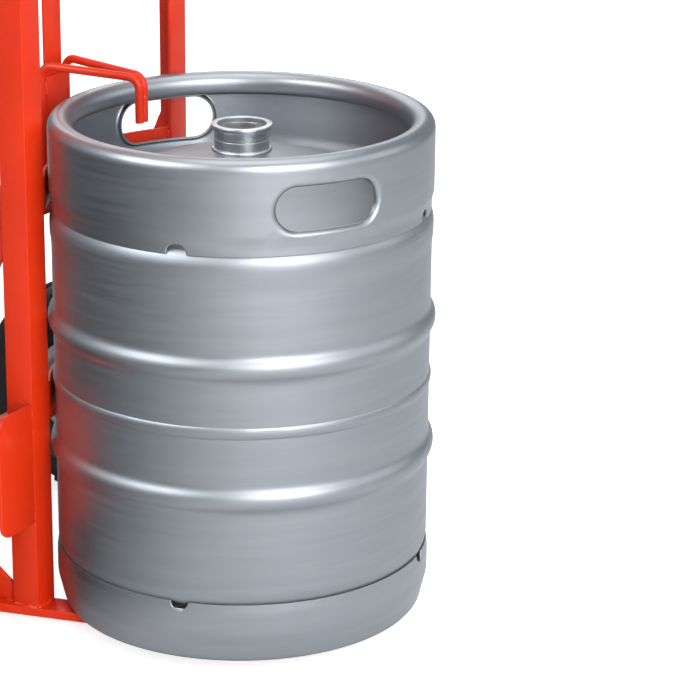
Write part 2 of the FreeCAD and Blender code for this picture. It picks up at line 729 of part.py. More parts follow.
def rim_half():
    """Return the outer half of the right rim, pressed from sheet."""
    middle = RIM_WALL / 2
    seat = RIM_SEAT_R - middle
    flange_x = BEAD_X + TYRE_WALL / 2 + middle + WASHER_PLAY
    points = [(middle, HUB_R), (middle, RIM_DISC_R), (RIM_DROP_X, seat), (flange_x, seat),
              (flange_x, RIM_FLANGE_R)]
    radii = [RIM_DISC_BEND, RIM_EDGE_BEND, RIM_EDGE_BEND]
    return drilled(turned_x(strip_face(points, radii, RIM_WALL, profile_point)))


def valve_place():
    """Return the height of the valve stem above the axle."""
    return HUB_FLANGE_R + VALVE_STEM_R + VALVE_STEM_CLEAR


def rim_outer():
    """Return the outer half of the rim, with the hole for the tyre valve."""
    height = valve_place()
    hole = rod(VALVE_STEM_R + WASHER_PLAY, vec(-RIM_DROP_X, 0, height), vec(TYRE_WIDTH, 0, height))
    return rim_half().cut(hole)


def rim_inner():
    """Return the inner half of the rim, a mirror image back to back with the outer."""
    return rim_half().mirror(CENTRE, ALONG_X)


def tyre_valve():
    """Return the valve stem with its cap, which stands out through the rim."""
    height = valve_place()
    start = vec(RIM_DROP_X / 2, 0, height)
    knee = vec(VALVE_STEM_LENGTH, 0, height)
    stem = rod(VALVE_STEM_R, start, knee)
    cap = rod(VALVE_STEM_R * 0.8, knee, knee + ALONG_X * VALVE_STEM_R * 2)
    return stem.fuse(cap).removeSplitter()


def hub():
    """Return the hub: a tube with bearing seats and a flange that the rim is bolted to."""
    half = HUB_LENGTH / 2
    seat = half - BEARING_T
    flange = RIM_WALL + HUB_FLANGE_T
    outline = [(-half, BEARING_R), (-seat, BEARING_R), (-seat, HUB_SHOULDER_R), (seat, HUB_SHOULDER_R),
               (seat, BEARING_R), (half, BEARING_R), (half, HUB_R), (flange, HUB_R), (flange, HUB_FLANGE_R),
               (RIM_WALL, HUB_FLANGE_R), (RIM_WALL, HUB_R), (-half, HUB_R)]
    return drilled(turned_x(outline_face(outline, profile_point)))


def bearing():
    """Return one sealed ball bearing with its outer face at the hub's end."""
    end = HUB_LENGTH / 2
    start = end - BEARING_T
    bore = AXLE_R + BEARING_FIT
    inner, outer = bore + BEARING_RACE, BEARING_R - BEARING_RACE
    outline = [(start, bore), (end, bore), (end, inner), (end - BEARING_STEP, inner),
               (end - BEARING_STEP, outer),
               (end, outer), (end, BEARING_R), (start, BEARING_R), (start, outer),
               (start + BEARING_STEP, outer),
               (start + BEARING_STEP, inner), (start, inner)]
    return turned_x(outline_face(outline, profile_point))


def hexagon(radius, x0, x1):
    """Return a six-sided head or nut along the X axis."""
    corners = [(radius * math.cos(math.radians(60 * index)), radius * math.sin(math.radians(60 * index)))
               for index in range(6)]
    face = outline_face(corners, side_point)
    face.translate(ALONG_X * x0)
    return face.extrude(ALONG_X * (x1 - x0))


def rim_bolts():
    """Return the bolts and nuts that hold the rim halves to the hub."""
    front = RIM_WALL + HUB_FLANGE_T
    bolt = rod(BOLT_R, vec(-RIM_WALL - BOLT_HEAD_T * 1.5, 0, 0), vec(front + BOLT_HEAD_T, 0, 0))
    head = hexagon(BOLT_HEAD_R, front, front + BOLT_HEAD_T)
    nut = hexagon(BOLT_HEAD_R, -RIM_WALL - BOLT_HEAD_T, -RIM_WALL)
    bolt = bolt.fuse([head, nut]).removeSplitter()
    bolt.translate(UP * BOLT_CIRCLE_R)
    copies = []
    for angle in bolt_spots():
        copy = bolt.copy()
        copy.rotate(CENTRE, ALONG_X, angle)
        copies.append(copy)
    return Part.makeCompound(copies)


def on_wheel(shape, side):
    """Return a wheel piece moved to its wheel, mirrored on the left."""
    placed = shape.copy()
    placed.translate(vec(WHEEL_X, AXLE_Y, AXLE_Z))
    return mirrored(placed, side)


def ring_points(z):
    """Return the corner points and bend radii of one rolling ring, from below."""
    step = KEG_RING_R - KEG_BODY_R
    reach = KEG_RING_HALF / 2
    radius = (reach ** 2 + (step / 2) ** 2) / step
    slope = math.asin(reach / radius)
    low = KEG_RING_HALF - radius * math.tan(slope / 2)
    middle_r = KEG_BODY_R - KEG_WALL / 2
    peak = middle_r + step / 2 + radius * math.tan(slope) * math.sin(slope)
    trimmed = radius * 0.995
    return [(middle_r, z - low), (peak, z), (middle_r, z + low)], [trimmed] * 3


def seam_bead(z0, z1):
    """Return the weld bead round the middle of the body, above or below the seam."""
    inner = KEG_BODY_R - KEG_WALL / 2
    outer = KEG_BODY_R + KEG_SEAM_BEAD
    return rod(outer, vec(0, 0, z0), vec(0, 0, z1)).cut(rod(inner, vec(0, 0, z0), vec(0, 0, z1)))


def lower_shell():
    """Return the lower half of the keg's body with its domed bottom."""
    tilt = math.radians(DOME_TILT)
    middle_r = KEG_BODY_R - KEG_WALL / 2
    knuckle_reach = LOWER_KNUCKLE_R * math.tan(math.radians(90 - DOME_TILT) / 2)
    dome_end_r = middle_r - knuckle_reach * math.cos(tilt)
    reach = dome_end_r / (1 + math.cos(tilt))
    dome_r = reach / math.tan(tilt / 2) * 0.999
    low_z = LOWER_DOME_Z
    wall_z = low_z + (middle_r - reach) * math.tan(tilt)
    ring, ring_radii = ring_points(KEG_LOWER_RING_Z)
    points = [(0, low_z), (reach, low_z), (middle_r, wall_z)] + ring + [(middle_r, KEG_SEAM_Z)]
    radii = [dome_r, LOWER_KNUCKLE_R * 0.999] + ring_radii
    shell = turned_z(strip_face(points, radii, KEG_WALL, profile_point))
    return shell.fuse(seam_bead(KEG_SEAM_Z - KEG_SEAM_BEAD_HALF, KEG_SEAM_Z)).removeSplitter()


def upper_shell():
    """Return the upper half of the keg's body with its domed top."""
    tilt = math.radians(DOME_TILT)
    middle_r = KEG_BODY_R - KEG_WALL / 2
    shoulder_r = SHOULDER_R - KEG_WALL / 2
    knuckle_reach = SHOULDER_BEND * math.tan(math.radians(90 - DOME_TILT) / 2)
    corner_z = SHOULDER_ARC_Z + knuckle_reach
    dome_reach = UPPER_DOME_R * math.tan(math.radians(UPPER_DOME_TURN) / 2)
    along = knuckle_reach + dome_reach * 1.001
    dome_r = shoulder_r - along * math.cos(tilt)
    dome_z = corner_z + along * math.sin(tilt)
    end_r = NECK_R - NECK_WELD
    end_z = dome_z + (dome_r - end_r) * math.tan(tilt - math.radians(UPPER_DOME_TURN))
    ring, ring_radii = ring_points(KEG_UPPER_RING_Z)
    flare_z = SHOULDER_START_Z + SHOULDER_FLARE
    points = [(middle_r, KEG_SEAM_Z)] + ring + [(middle_r, SHOULDER_START_Z), (shoulder_r, flare_z)]
    points += [(shoulder_r, corner_z), (dome_r, dome_z), (end_r, end_z)]
    radii = ring_radii + [BEAD_STEP, BEAD_STEP, SHOULDER_BEND * 0.999, UPPER_DOME_R]
    shell = turned_z(strip_face(points, radii, KEG_WALL, profile_point))
    hole = rod(NECK_R, vec(0, 0, KEG_SEAM_Z), vec(0, 0, KEG_HEIGHT))
    return shell.cut(hole).fuse(seam_bead(KEG_SEAM_Z, KEG_SEAM_Z + KEG_SEAM_BEAD_HALF)).removeSplitter()


def stadium(length, height, r0, r1):
    """Return a block with round ends that points along -Y between two radii."""
    half = (length - height) / 2
    centre = vec(0, -r1, 0)
    block = box(-half, half, -r1, -r0, -height / 2, height / 2)
    ends = [Part.makeCylinder(height / 2, r1 - r0, centre + ALONG_X * shift, ALONG_Y)
            for shift in (-half, half)]
    return block.fuse(ends).removeSplitter()


def spaced_round(shape, turns):
    """Return copies of a shape turned about the keg's axis."""
    copies = []
    for turn in turns:
        copy = shape.copy()
        copy.rotate(CENTRE, UP, turn)
        copies.append(copy)
    return copies


def hand_turns():
    """Return the turns of the two opposite hand holes from the front."""
    return [-HAND_HOLE_TURN, 180 - HAND_HOLE_TURN]


def drain_turns():
    """Return the turns of the drain notches, midway between the hand holes."""
    return [turn + DRAIN_TURN + 90 * step for turn in hand_turns() for step in (0, 1)]


def skirt_seat_z():
    """Return the height at which the top chime's skirt meets the shoulder."""
    centre_r = SHOULDER_R - KEG_WALL / 2 - SHOULDER_BEND
    outer_bend = SHOULDER_BEND + KEG_WALL / 2
    inner_r = CHIME_SKIRT_R - CHIME_WALL
    return SHOULDER_ARC_Z + math.sqrt(outer_bend ** 2 - (inner_r - centre_r) ** 2)


def top_chime():
    """Return the top chime: a rolled rim over a wall with two hand holes."""
    skirt_z = skirt_seat_z()
    skirt_r = CHIME_SKIRT_R - CHIME_WALL / 2
    wall_r = CHIME_R - CHIME_WALL / 2
    roll = RIM_ROLL_R - CHIME_WALL / 2
    top_z = KEG_HEIGHT - CHIME_WALL / 2
    inner_r = wall_r - 2 * roll
    tuck_z = top_z - RIM_TUCK
    points = [(skirt_r, skirt_z), (skirt_r, skirt_z + SKIRT_STEP), (wall_r, skirt_z + 2 * SKIRT_STEP)]
    points += [(wall_r, top_z), (inner_r, top_z), (inner_r, tuck_z),
               (inner_r + RIM_CURL, tuck_z - RIM_CURL / 4)]
    radii = [BEAD_STEP / 3, BEAD_STEP / 3, roll * 0.995, roll * 0.995, RIM_CURL / 2]
    ring = turned_z(strip_face(points, radii, CHIME_WALL, profile_point))
    length, height = HAND_HOLE_LENGTH, HAND_HOLE_HEIGHT
    centre_z = KEG_HEIGHT - HAND_HOLE_DROP
    near, far = CHIME_R / 2, CHIME_R + CHIME_WALL
    lip = stadium(length, height, near, far)
    hole = stadium(length - 2 * HAND_HOLE_LIP_WALL, height - 2 * HAND_HOLE_LIP_WALL, near, far)
    lip.translate(UP * centre_z)
    hole.translate(UP * centre_z)
    low, high = vec(0, 0, centre_z - height), vec(0, 0, centre_z + height)
    depth = rod(CHIME_R - CHIME_WALL / 2, low,
                high).cut(rod(CHIME_R - CHIME_WALL - HAND_HOLE_LIP, low, high))
    lips = spaced_round(lip.common(depth), hand_turns())
    ring = ring.fuse(lips)
    ring = ring.cut(spaced_round(hole, hand_turns()))
    notch = rod(TOP_DRAIN_R, vec(0, -CHIME_R - CHIME_WALL, skirt_z), vec(0, -CHIME_R / 2, skirt_z))
    return ring.cut(spaced_round(notch, drain_turns())).removeSplitter()


def foot_seat():
    """Return the radius and height at which the foot chime meets the lower shell."""
    centre_r = KEG_BODY_R - KEG_WALL / 2 - LOWER_KNUCKLE_R
    tilt = math.radians(DOME_TILT)
    knuckle_reach = LOWER_KNUCKLE_R * math.tan(math.radians(90 - DOME_TILT) / 2)
    middle_r = KEG_BODY_R - KEG_WALL / 2
    reach = (middle_r - knuckle_reach * math.cos(tilt)) / (1 + math.cos(tilt))
    centre_z = LOWER_DOME_Z + (middle_r - reach) * math.tan(tilt) + knuckle_reach
    outer_bend = LOWER_KNUCKLE_R + KEG_WALL / 2
    inner_r = KEG_BODY_R - CHIME_WALL
    return inner_r, centre_z - math.sqrt(outer_bend ** 2 - (inner_r - centre_r) ** 2)


def foot_chime():
    """Return the foot chime, which curves in to a rolled edge that the keg stands on."""
    inner_r, seat_z = foot_seat()
    seat_r = inner_r + CHIME_WALL / 2
    wall_r = CHIME_R - CHIME_WALL / 2
    low_z = CHIME_WALL / 2
    roll_r = FOOT_TURN_R - FOOT_ROLL
    points = [(seat_r, seat_z), (wall_r, seat_z - SKIRT_STEP), (wall_r, FOOT_CHIME_WALL_Z),
              (FOOT_TURN_R, low_z),
              (roll_r, low_z), (roll_r, low_z + FOOT_CURL)]
    radii = [BEAD_STEP / 3, BEAD_STEP / 2, 6, 5]
    ring = turned_z(strip_face(points, radii, CHIME_WALL, profile_point))
    notch = rod(FOOT_DRAIN_R, vec(0, -CHIME_R - CHIME_WALL, seat_z), vec(0, -CHIME_R / 2, seat_z))
    return ring.cut(spaced_round(notch, drain_turns())).removeSplitter()


def neck_top_z():
    """Return the height of the neck's flange above the keg's foot."""
    return KEG_HEIGHT - NECK_BELOW_RIM


def neck():
    """Return the keg's neck, welded into the top dome."""
    top = neck_top_z()
    low = top - NECK_LENGTH
    outline = [(NECK_BORE_R, low), (NECK_R, low), (NECK_R, top - NECK_FLANGE_T),
               (NECK_FLANGE_R, top - NECK_FLANGE_T),
               (NECK_FLANGE_R, top), (NECK_BORE_R, top)]
    return turned_z(outline_face(outline, profile_point))


def spear_top_z():
    """Return the height of the top of the spear's body."""
    return neck_top_z() - SPEAR_DEPTH


def spear_body():
    """Return the spear's body, a cup that closes the neck and holds the valve."""
    top = spear_top_z()
    low = top - SPEAR_BODY_LENGTH
    outer = NECK_BORE_R - SPEAR_FIT
    inner = VALVE_R + VALVE_GAP
    seat_z = top - SPEAR_SEAT_T
    outline = [(SPEAR_TUBE_R, low), (outer, low), (outer, top), (SPEAR_SEAT_R, top), (SPEAR_SEAT_R, seat_z),
               (inner, seat_z), (inner, low + SPEAR_SEAT_T), (SPEAR_TUBE_R, low + SPEAR_SEAT_T)]
    return turned_z(outline_face(outline, profile_point))


def spear_tube():
    """Return the tube that reaches down to the bottom of the keg."""
    top = spear_top_z() - SPEAR_BODY_LENGTH + SPEAR_SEAT_T
    low = LOWER_DOME_Z + KEG_WALL / 2 + SPEAR_END_GAP
    foot, head = vec(0, 0, low), vec(0, 0, top)
    return rod(SPEAR_TUBE_R, foot, head).cut(rod(SPEAR_TUBE_R - SPEAR_TUBE_WALL, foot, head))


def valve_top_z():
    """Return the height of the valve's rim, just under the body's seat."""
    return spear_top_z() - SPEAR_SEAT_T - VALVE_SEAT_GAP


def spear_valve():
    """Return the rubber valve disc, which closes the body from below."""
    top = valve_top_z()
    outline = [(0, top - VALVE_T), (VALVE_R, top - VALVE_T), (VALVE_R, top),
               (SPEAR_SEAT_R - VALVE_GAP, top),
               (SPEAR_SEAT_R - 2 * VALVE_T / 5, top + VALVE_T / 2), (0, top + VALVE_T / 2)]
    return turned_z(outline_face(outline, profile_point))


def spear_spring():
    """Return the coil spring that holds the valve closed."""
    low = spear_top_z() - SPEAR_BODY_LENGTH + SPEAR_SEAT_T + SPRING_WIRE_R
    high = valve_top_z() - VALVE_T - SPRING_WIRE_R
    radius = VALVE_R - 2 * SPRING_WIRE_R
    height = high - low
    helix = Part.makeHelix(height / SPRING_TURNS, height, radius)
    pitch_angle = math.atan2(height / SPRING_TURNS, 2 * math.pi * radius)
    along = vec(0, math.cos(pitch_angle), math.sin(pitch_angle))
    ring = Part.Wire(Part.makeCircle(SPRING_WIRE_R, vec(radius, 0, 0), along))
    coil = Part.Wire(helix.Edges).makePipeShell([ring], True, True)
    coil.translate(UP * low)
    return coil


def on_keg(shape):
    """Return a keg piece lifted to where the keg stands."""
    placed = shape.copy()
    placed.translate(UP * KEG_FOOT_Z)
    return placed


def write_frame():
    """Write the welded frame, its handles and its rail."""
    for name, side in SIDES:
        write("base_bar_" + name, mirrored(base_bar(), side))
        write("upright_" + name, mirrored(upright(), side))
        write("guard_plate_" + name, mirrored(guard_plate(), side))
        write("upper_brace_" + name, mirrored(upper_brace(), side))
        write("lower_brace_" + name, mirrored(lower_brace(), side))
        write("handle_" + name, mirrored(handle(), side))
        write("grip_" + name, mirrored(grip(), side))
    write("toe_crossbar", toe_crossbar())
    write("cradle_lower", cradle(CRADLE_LOWER_Z))
    write("cradle_upper", cradle(CRADLE_UPPER_Z))
    write("top_crossbar", box(-PLATE_END_X, PLATE_END_X, FLANGE_BACK_Y, FLANGE_BACK_Y + PLATE_T,
                              CROSSBAR_Z, CROSSBAR_Z + CRADLE_HEIGHT))
    write("rail_strap_lower", rail_strap(STRAP_BOTTOM_Z, INNER_X - BRACE_T))
    write("rail_strap_upper", rail_strap(STRAP_TOP_Z, FRAME_HALF))
    write("rail", rail())


def write_hook():
    """Write the hook that slides on the rail."""
    write("hook_sleeve", hook_sleeve())
    for name, side in SIDES:
        write("hook_rod_" + name, mirrored(hook_rod(), side))


def write_wheels():
    """Write the axle, its fastenings and both wheels."""
    write("axle_tube", axle_tube())
    write("axle", axle())
    washers = [washer(AXLE_TUBE_X), washer(HUB_OUTER_X + HUB_PLAY)]
    pins = []
    for name, side in SIDES:
        write("washers_" + name, Part.makeCompound([mirrored(ring, side) for ring in washers]))
        pins.append(mirrored(split_pin(), side))
        write("tyre_" + name, on_wheel(tyre(), side))
        write("inner_tube_" + name, on_wheel(inner_tube(), side))
        write("rim_outer_" + name, on_wheel(rim_outer(), side))
        write("rim_inner_" + name, on_wheel(rim_inner(), side))
        write("hub_" + name, on_wheel(hub(), side))
        bearings = Part.makeCompound([bearing(), bearing().mirror(CENTRE, ALONG_X)])
        write("bearings_" + name, on_wheel(bearings, side))
        write("rim_bolts_" + name, on_wheel(rim_bolts(), side))
        write("tyre_valve_" + name, on_wheel(tyre_valve(), side))
    write("split_pins", Part.makeCompound(pins))


def write_keg():
    """Write the keg and the spear in its neck."""
    write("keg_lower_shell", on_keg(lower_shell()))
    write("keg_upper_shell", on_keg(upper_shell()))
    write("keg_top_chime", on_keg(top_chime()))
    write("keg_foot_chime", on_keg(foot_chime()))
    write("keg_neck", on_keg(neck()))
    write("spear_body", on_keg(spear_body()))
    write("spear_tube", on_keg(spear_tube()))
    write("spear_valve", on_keg(spear_valve()))
    write("spear_spring", on_keg(spear_spring()))


os.makedirs(PARTS, exist_ok=True)
write_frame()
write_hook()
write_wheels()
write_keg()
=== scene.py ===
"""An upright keg trolley with its keg, dressed for a plain studio picture.

The welded frame keeps its solid shapes, with softened edges, weld beads and
enamel. The keg's rings are made as pressed sheet, rolled to their radius, and
the tyres as a carcass with lugs laid round it. Sizes in the classes are in
millimetres; the scene itself is in metres.
"""

from __future__ import annotations

import logging
import math
from dataclasses import dataclass, field
from enum import Enum
from typing import Any, Callable, Iterable, Sequence

import bmesh
import bpy
import numpy as np
from mathutils import Euler, Matrix, Vector

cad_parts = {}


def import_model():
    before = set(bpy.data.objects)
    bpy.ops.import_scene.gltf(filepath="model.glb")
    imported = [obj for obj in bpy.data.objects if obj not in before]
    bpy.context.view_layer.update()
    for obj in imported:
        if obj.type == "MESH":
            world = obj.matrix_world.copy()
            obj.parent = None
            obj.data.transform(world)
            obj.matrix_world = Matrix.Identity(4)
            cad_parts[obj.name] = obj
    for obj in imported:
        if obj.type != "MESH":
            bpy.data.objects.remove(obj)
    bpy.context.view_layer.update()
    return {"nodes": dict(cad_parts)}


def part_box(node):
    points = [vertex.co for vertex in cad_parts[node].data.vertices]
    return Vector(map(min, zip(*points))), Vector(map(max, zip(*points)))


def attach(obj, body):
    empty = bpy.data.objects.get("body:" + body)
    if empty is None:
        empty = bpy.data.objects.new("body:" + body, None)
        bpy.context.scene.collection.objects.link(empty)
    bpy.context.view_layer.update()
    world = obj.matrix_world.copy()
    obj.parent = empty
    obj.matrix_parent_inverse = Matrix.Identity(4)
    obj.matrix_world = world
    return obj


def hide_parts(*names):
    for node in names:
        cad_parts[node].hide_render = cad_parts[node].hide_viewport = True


LOG = logging.getLogger("keg_trolley")
MM = 0.001

Flat = tuple[float, float]
Spot = tuple[float, float, float]
Seam = tuple[Spot, Spot, float, int]


class Side(Enum):
    """The two sides of the trolley, seen from the front, and their sign on X."""

    LEFT = -1
    RIGHT = 1

    @property
    def word(self) -> str:
        """Return the side's name as the node names spell it."""
        return self.name.lower()


class LampUse(Enum):
    """What a lamp lights: everything, only the sheen of surfaces, or only their matt part."""

    ALL = "all"
    SHEEN = "sheen"
    DIFFUSE = "diffuse"


def linear(code: str) -> tuple[float, float, float, float]:
    """Turn an sRGB hex code into a linear colour.

    Args:
        code: Six hex digits, with or without a leading sign.

    Returns:
        Linear red, green and blue, with an alpha of one.
    """
    digits = code.lstrip("#")
    parts = [int(digits[i:i + 2], 16) / 255 for i in (0, 2, 4)]
    r, g, b = (p / 12.92 if p <= 0.04045 else ((p + 0.055) / 1.055) ** 2.4 for p in parts)
    return (r, g, b, 1.0)


def add_node(tree: bpy.types.NodeTree, kind: str, settings: dict[str, Any] | None = None,
             values: dict[Any, Any] | None = None, links: dict[Any, Any] | None = None) -> bpy.types.Node:
    """Add a node with its settings and links.

    Args:
        tree: The node tree that takes the node.
        kind: The node's type name.
        settings: Properties of the node by name.
        values: Input values by socket name or number.
        links: Output sockets by the name or number of the input they feed.

    Returns:
        The new node.
    """
    node = tree.nodes.new(kind)
    for key, value in (settings or {}).items():
        setattr(node, key, value)
    for key, value in (values or {}).items():
        node.inputs[key].default_value = value
    for key, socket in (links or {}).items():
        tree.links.new(socket, node.inputs[key])
    return node


@dataclass(frozen=True)
class Grain:
    """One layer of noise, with the size of its grains along each axis.

    Attributes:
        size_mm: Grain size along X, Y and Z.
        low: Noise value that becomes zero.
        high: Noise value that becomes one.
        detail: Octaves of finer noise.
    """

    size_mm: tuple[float, float, float]
    low: float = 0.35
    high: float = 0.65
    detail: float = 3.0

    def build(self, tree: bpy.types.NodeTree, centre: Vector) -> bpy.types.NodeSocket:
        """Add the layer to a material.

        Args:
            tree: The material's node tree.
            centre: Point in metres that the pattern is measured from.

        Returns:
            A socket with a value from zero to one.
        """
        place = add_node(tree, "ShaderNodeTexCoord")
        scale = tuple(1.0 / (s * MM) for s in self.size_mm)
        shift = tuple(-c * s for c, s in zip(centre, scale))
        mapped = add_node(tree, "ShaderNodeMapping", values={"Scale": scale, "Location": shift},
                          links={"Vector": place.outputs["Object"]})
        noise = add_node(tree, "ShaderNodeTexNoise",
                         values={"Scale": 1.0, "Detail": self.detail, "Roughness": 0.55},
                         links={"Vector": mapped.outputs["Vector"]})
        spread = add_node(tree, "ShaderNodeMapRange", values={1: self.low, 2: self.high},
                          links={0: noise.outputs[0]})
        return spread.outputs[0]


@dataclass(frozen=True)
class Finish:
    """A surface finish built from a few layers of grain.

    Attributes:
        name: The material's name.
        colour: Main colour, as sRGB hex.
        second: Colour that the tone layer mixes in.
        mix: Largest share of the second colour.
        tone: Grain of the colour change.
        roughness: Lowest and highest roughness.
        gloss: Grain of the roughness change.
        relief: Pairs of grain and height in millimetres.
        metallic: One for bare metal.
        coat: Weight of a clear top coat.
        shine: Strength of the base layer's reflection.
        specks: Colour of small marks, or nothing.
        speck_grain: Grain of those marks.
    """

    name: str
    colour: str
    second: str
    mix: float
    tone: Grain
    roughness: tuple[float, float]
    gloss: Grain
    relief: tuple[tuple[Grain, float], ...] = ()
    metallic: float = 0.0
    coat: float = 0.0
    shine: float = 0.5
    specks: str = ""
    speck_grain: Grain = Grain((2.0, 2.0, 2.0), 0.7, 0.74)

    def build(self, centre: Vector = Vector((0.0, 0.0, 0.0))) -> bpy.types.Material:
        """Make the material.

        Args:
            centre: Point in metres that its patterns are measured from.

        Returns:
            The new material.
        """
        material = bpy.data.materials.new(self.name)
        material.use_nodes = True
        tree = material.node_tree
        tree.nodes.clear()
        tone = self.tone.build(tree, centre)
        share = add_node(tree, "ShaderNodeMath", {"operation": "MULTIPLY"}, {1: self.mix}, {0: tone})
        colour = add_node(tree, "ShaderNodeMix", {"data_type": "RGBA"},
                          {6: linear(self.colour), 7: linear(self.second)},
                          {0: share.outputs[0]}).outputs[2]
        if self.specks:
            marks = self.speck_grain.build(tree, centre)
            colour = add_node(tree, "ShaderNodeMix", {"data_type": "RGBA"}, {7: linear(self.specks)},
                              {0: marks, 6: colour}).outputs[2]
        gloss = self.gloss.build(tree, centre)
        rough = add_node(tree, "ShaderNodeMapRange", values={3: self.roughness[0], 4: self.roughness[1]},
                         links={0: gloss})
        shader = add_node(tree, "ShaderNodeBsdfPrincipled",
                          values={"Metallic": self.metallic, "Coat Weight": self.coat,
                                  "Coat Roughness": 0.12,
                                  "Specular IOR Level": self.shine},
                          links={"Base Color": colour, "Roughness": rough.outputs[0]})
        normal = None
        for grain, height in self.relief:
            links = {"Height": grain.build(tree, centre)}
            if normal is not None:
                links["Normal"] = normal
            bump = add_node(tree, "ShaderNodeBump", values={"Strength": 1.0, "Distance": height * MM},
                            links=links)
            normal = bump.outputs[0]
        if normal is not None:
            tree.links.new(normal, shader.inputs["Normal"])
        add_node(tree, "ShaderNodeOutputMaterial", links={"Surface": shader.outputs[0]})
        return material


def even(size: float, low: float = 0.35, high: float = 0.65, detail: float = 3.0) -> Grain:
    """Return a grain of the same size in every direction."""
    return Grain((size, size, size), low, high, detail)


# Enamel sprayed on hot-rolled bar: an even, glossy orange-red with a faint orange peel over
# slightly uneven steel
ENAMEL = Finish("sprayed_enamel_orange_red", "E6350B", "D42B08", 0.5, even(70.0), (0.34, 0.46),
                even(35.0),
                ((even(11.0, 0.3, 0.7, 2.0), 0.05), (even(1.9, 0.3, 0.7, 1.0), 0.012)), coat=0.08,
                shine=0.3)
# The same enamel where it ran over a weld: thicker, rounder and a little brighter
WELD_ENAMEL = Finish("enamel_over_weld", "E83C14", "D42E0C", 0.4, even(12.0), (0.24, 0.34), even(9.0),
                     ((even(1.2, 0.3, 0.7, 1.0), 0.03),), coat=0.3)
# Rolled 304 stainless, blasted and pickled: a soft grey sheen with faint level streaks from rolling
KEG_STEEL = Finish("satin_stainless_sheet", "9EA3A8", "8F959A", 0.5,
                   Grain((190.0, 190.0, 14.0), 0.3, 0.7, 4.0),
                   (0.42, 0.50), Grain((90.0, 90.0, 5.0), 0.3, 0.7, 3.0),
                   ((Grain((60.0, 60.0, 1.3), 0.2, 0.8, 2.0), 0.006), (even(80.0, 0.3, 0.7, 1.0), 0.14)),
                   metallic=1.0)
# Pressed and polished sheet of the chimes: the same steel with a slightly brighter, smoother face
CHIME_STEEL = Finish("pressed_stainless_chime", "A0A5AA", "91979C", 0.45,
                     Grain((210.0, 210.0, 16.0), 0.3, 0.7, 4.0),
                     (0.36, 0.44), Grain((90.0, 90.0, 6.0), 0.3, 0.7, 3.0),
                     ((Grain((60.0, 60.0, 1.5), 0.2, 0.8, 2.0), 0.005),
                      (even(60.0, 0.3, 0.7, 1.0), 0.12)), metallic=1.0)
# Turned stainless of the neck and the spear: bright, with tool rings too fine to see drawn 0.8 mm apart
TURNED_STEEL = Finish("turned_stainless", "C6CACD", "B4B8BC", 0.4, Grain((60.0, 60.0, 0.8)), (0.30, 0.38),
                      Grain((50.0, 50.0, 0.8)), ((Grain((90.0, 90.0, 0.8), 0.2, 0.8, 1.0), 0.008),),
                      metallic=1.0)
# Moulded tyre rubber: a dull black with road dust in patches
TYRE_RUBBER = Finish("moulded_tyre_rubber", "161211", "2C2623", 0.55, even(26.0, 0.4, 0.7), (0.62, 0.85),
                     even(18.0),
                     ((even(1.6, 0.3, 0.7, 2.0), 0.06),), specks="463F39",
                     speck_grain=even(3.0, 0.68, 0.75, 2.0))
# Moulded soft PVC of the grips: black, with a fine pebble grain drawn 1.4 mm wide
GRIP_PVC = Finish("moulded_pvc_black", "151516", "232324", 0.5, even(30.0), (0.42, 0.58), even(12.0),
                  ((even(1.4, 0.35, 0.65, 1.0), 0.05),))
# Nitrile rubber of the valve disc, the tyre valve and the inner tube: smooth dull black
VALVE_RUBBER = Finish("nitrile_rubber", "1B1B1D", "2A2A2B", 0.4, even(8.0), (0.45, 0.6), even(6.0),
                      ((even(0.9), 0.01),))
# Light grey enamel on the pressed rim halves, dulled by dust
RIM_ENAMEL = Finish("rim_enamel_light_grey", "C3C5C6", "A9ABAB", 0.5, even(22.0), (0.34, 0.5), even(14.0),
                    ((even(2.2, 0.3, 0.7, 1.0), 0.012),), coat=0.15, specks="7B766F",
                    speck_grain=even(4.0, 0.7, 0.74))
# Bright zinc plate on the hub, axle and fasteners: silvery with faint warm clouds
ZINC = Finish("bright_zinc_plate", "B5B7B4", "A39F93", 0.55, even(9.0), (0.22, 0.36), even(5.0),
              ((even(1.5, 0.3, 0.7, 2.0), 0.012),), metallic=1.0)


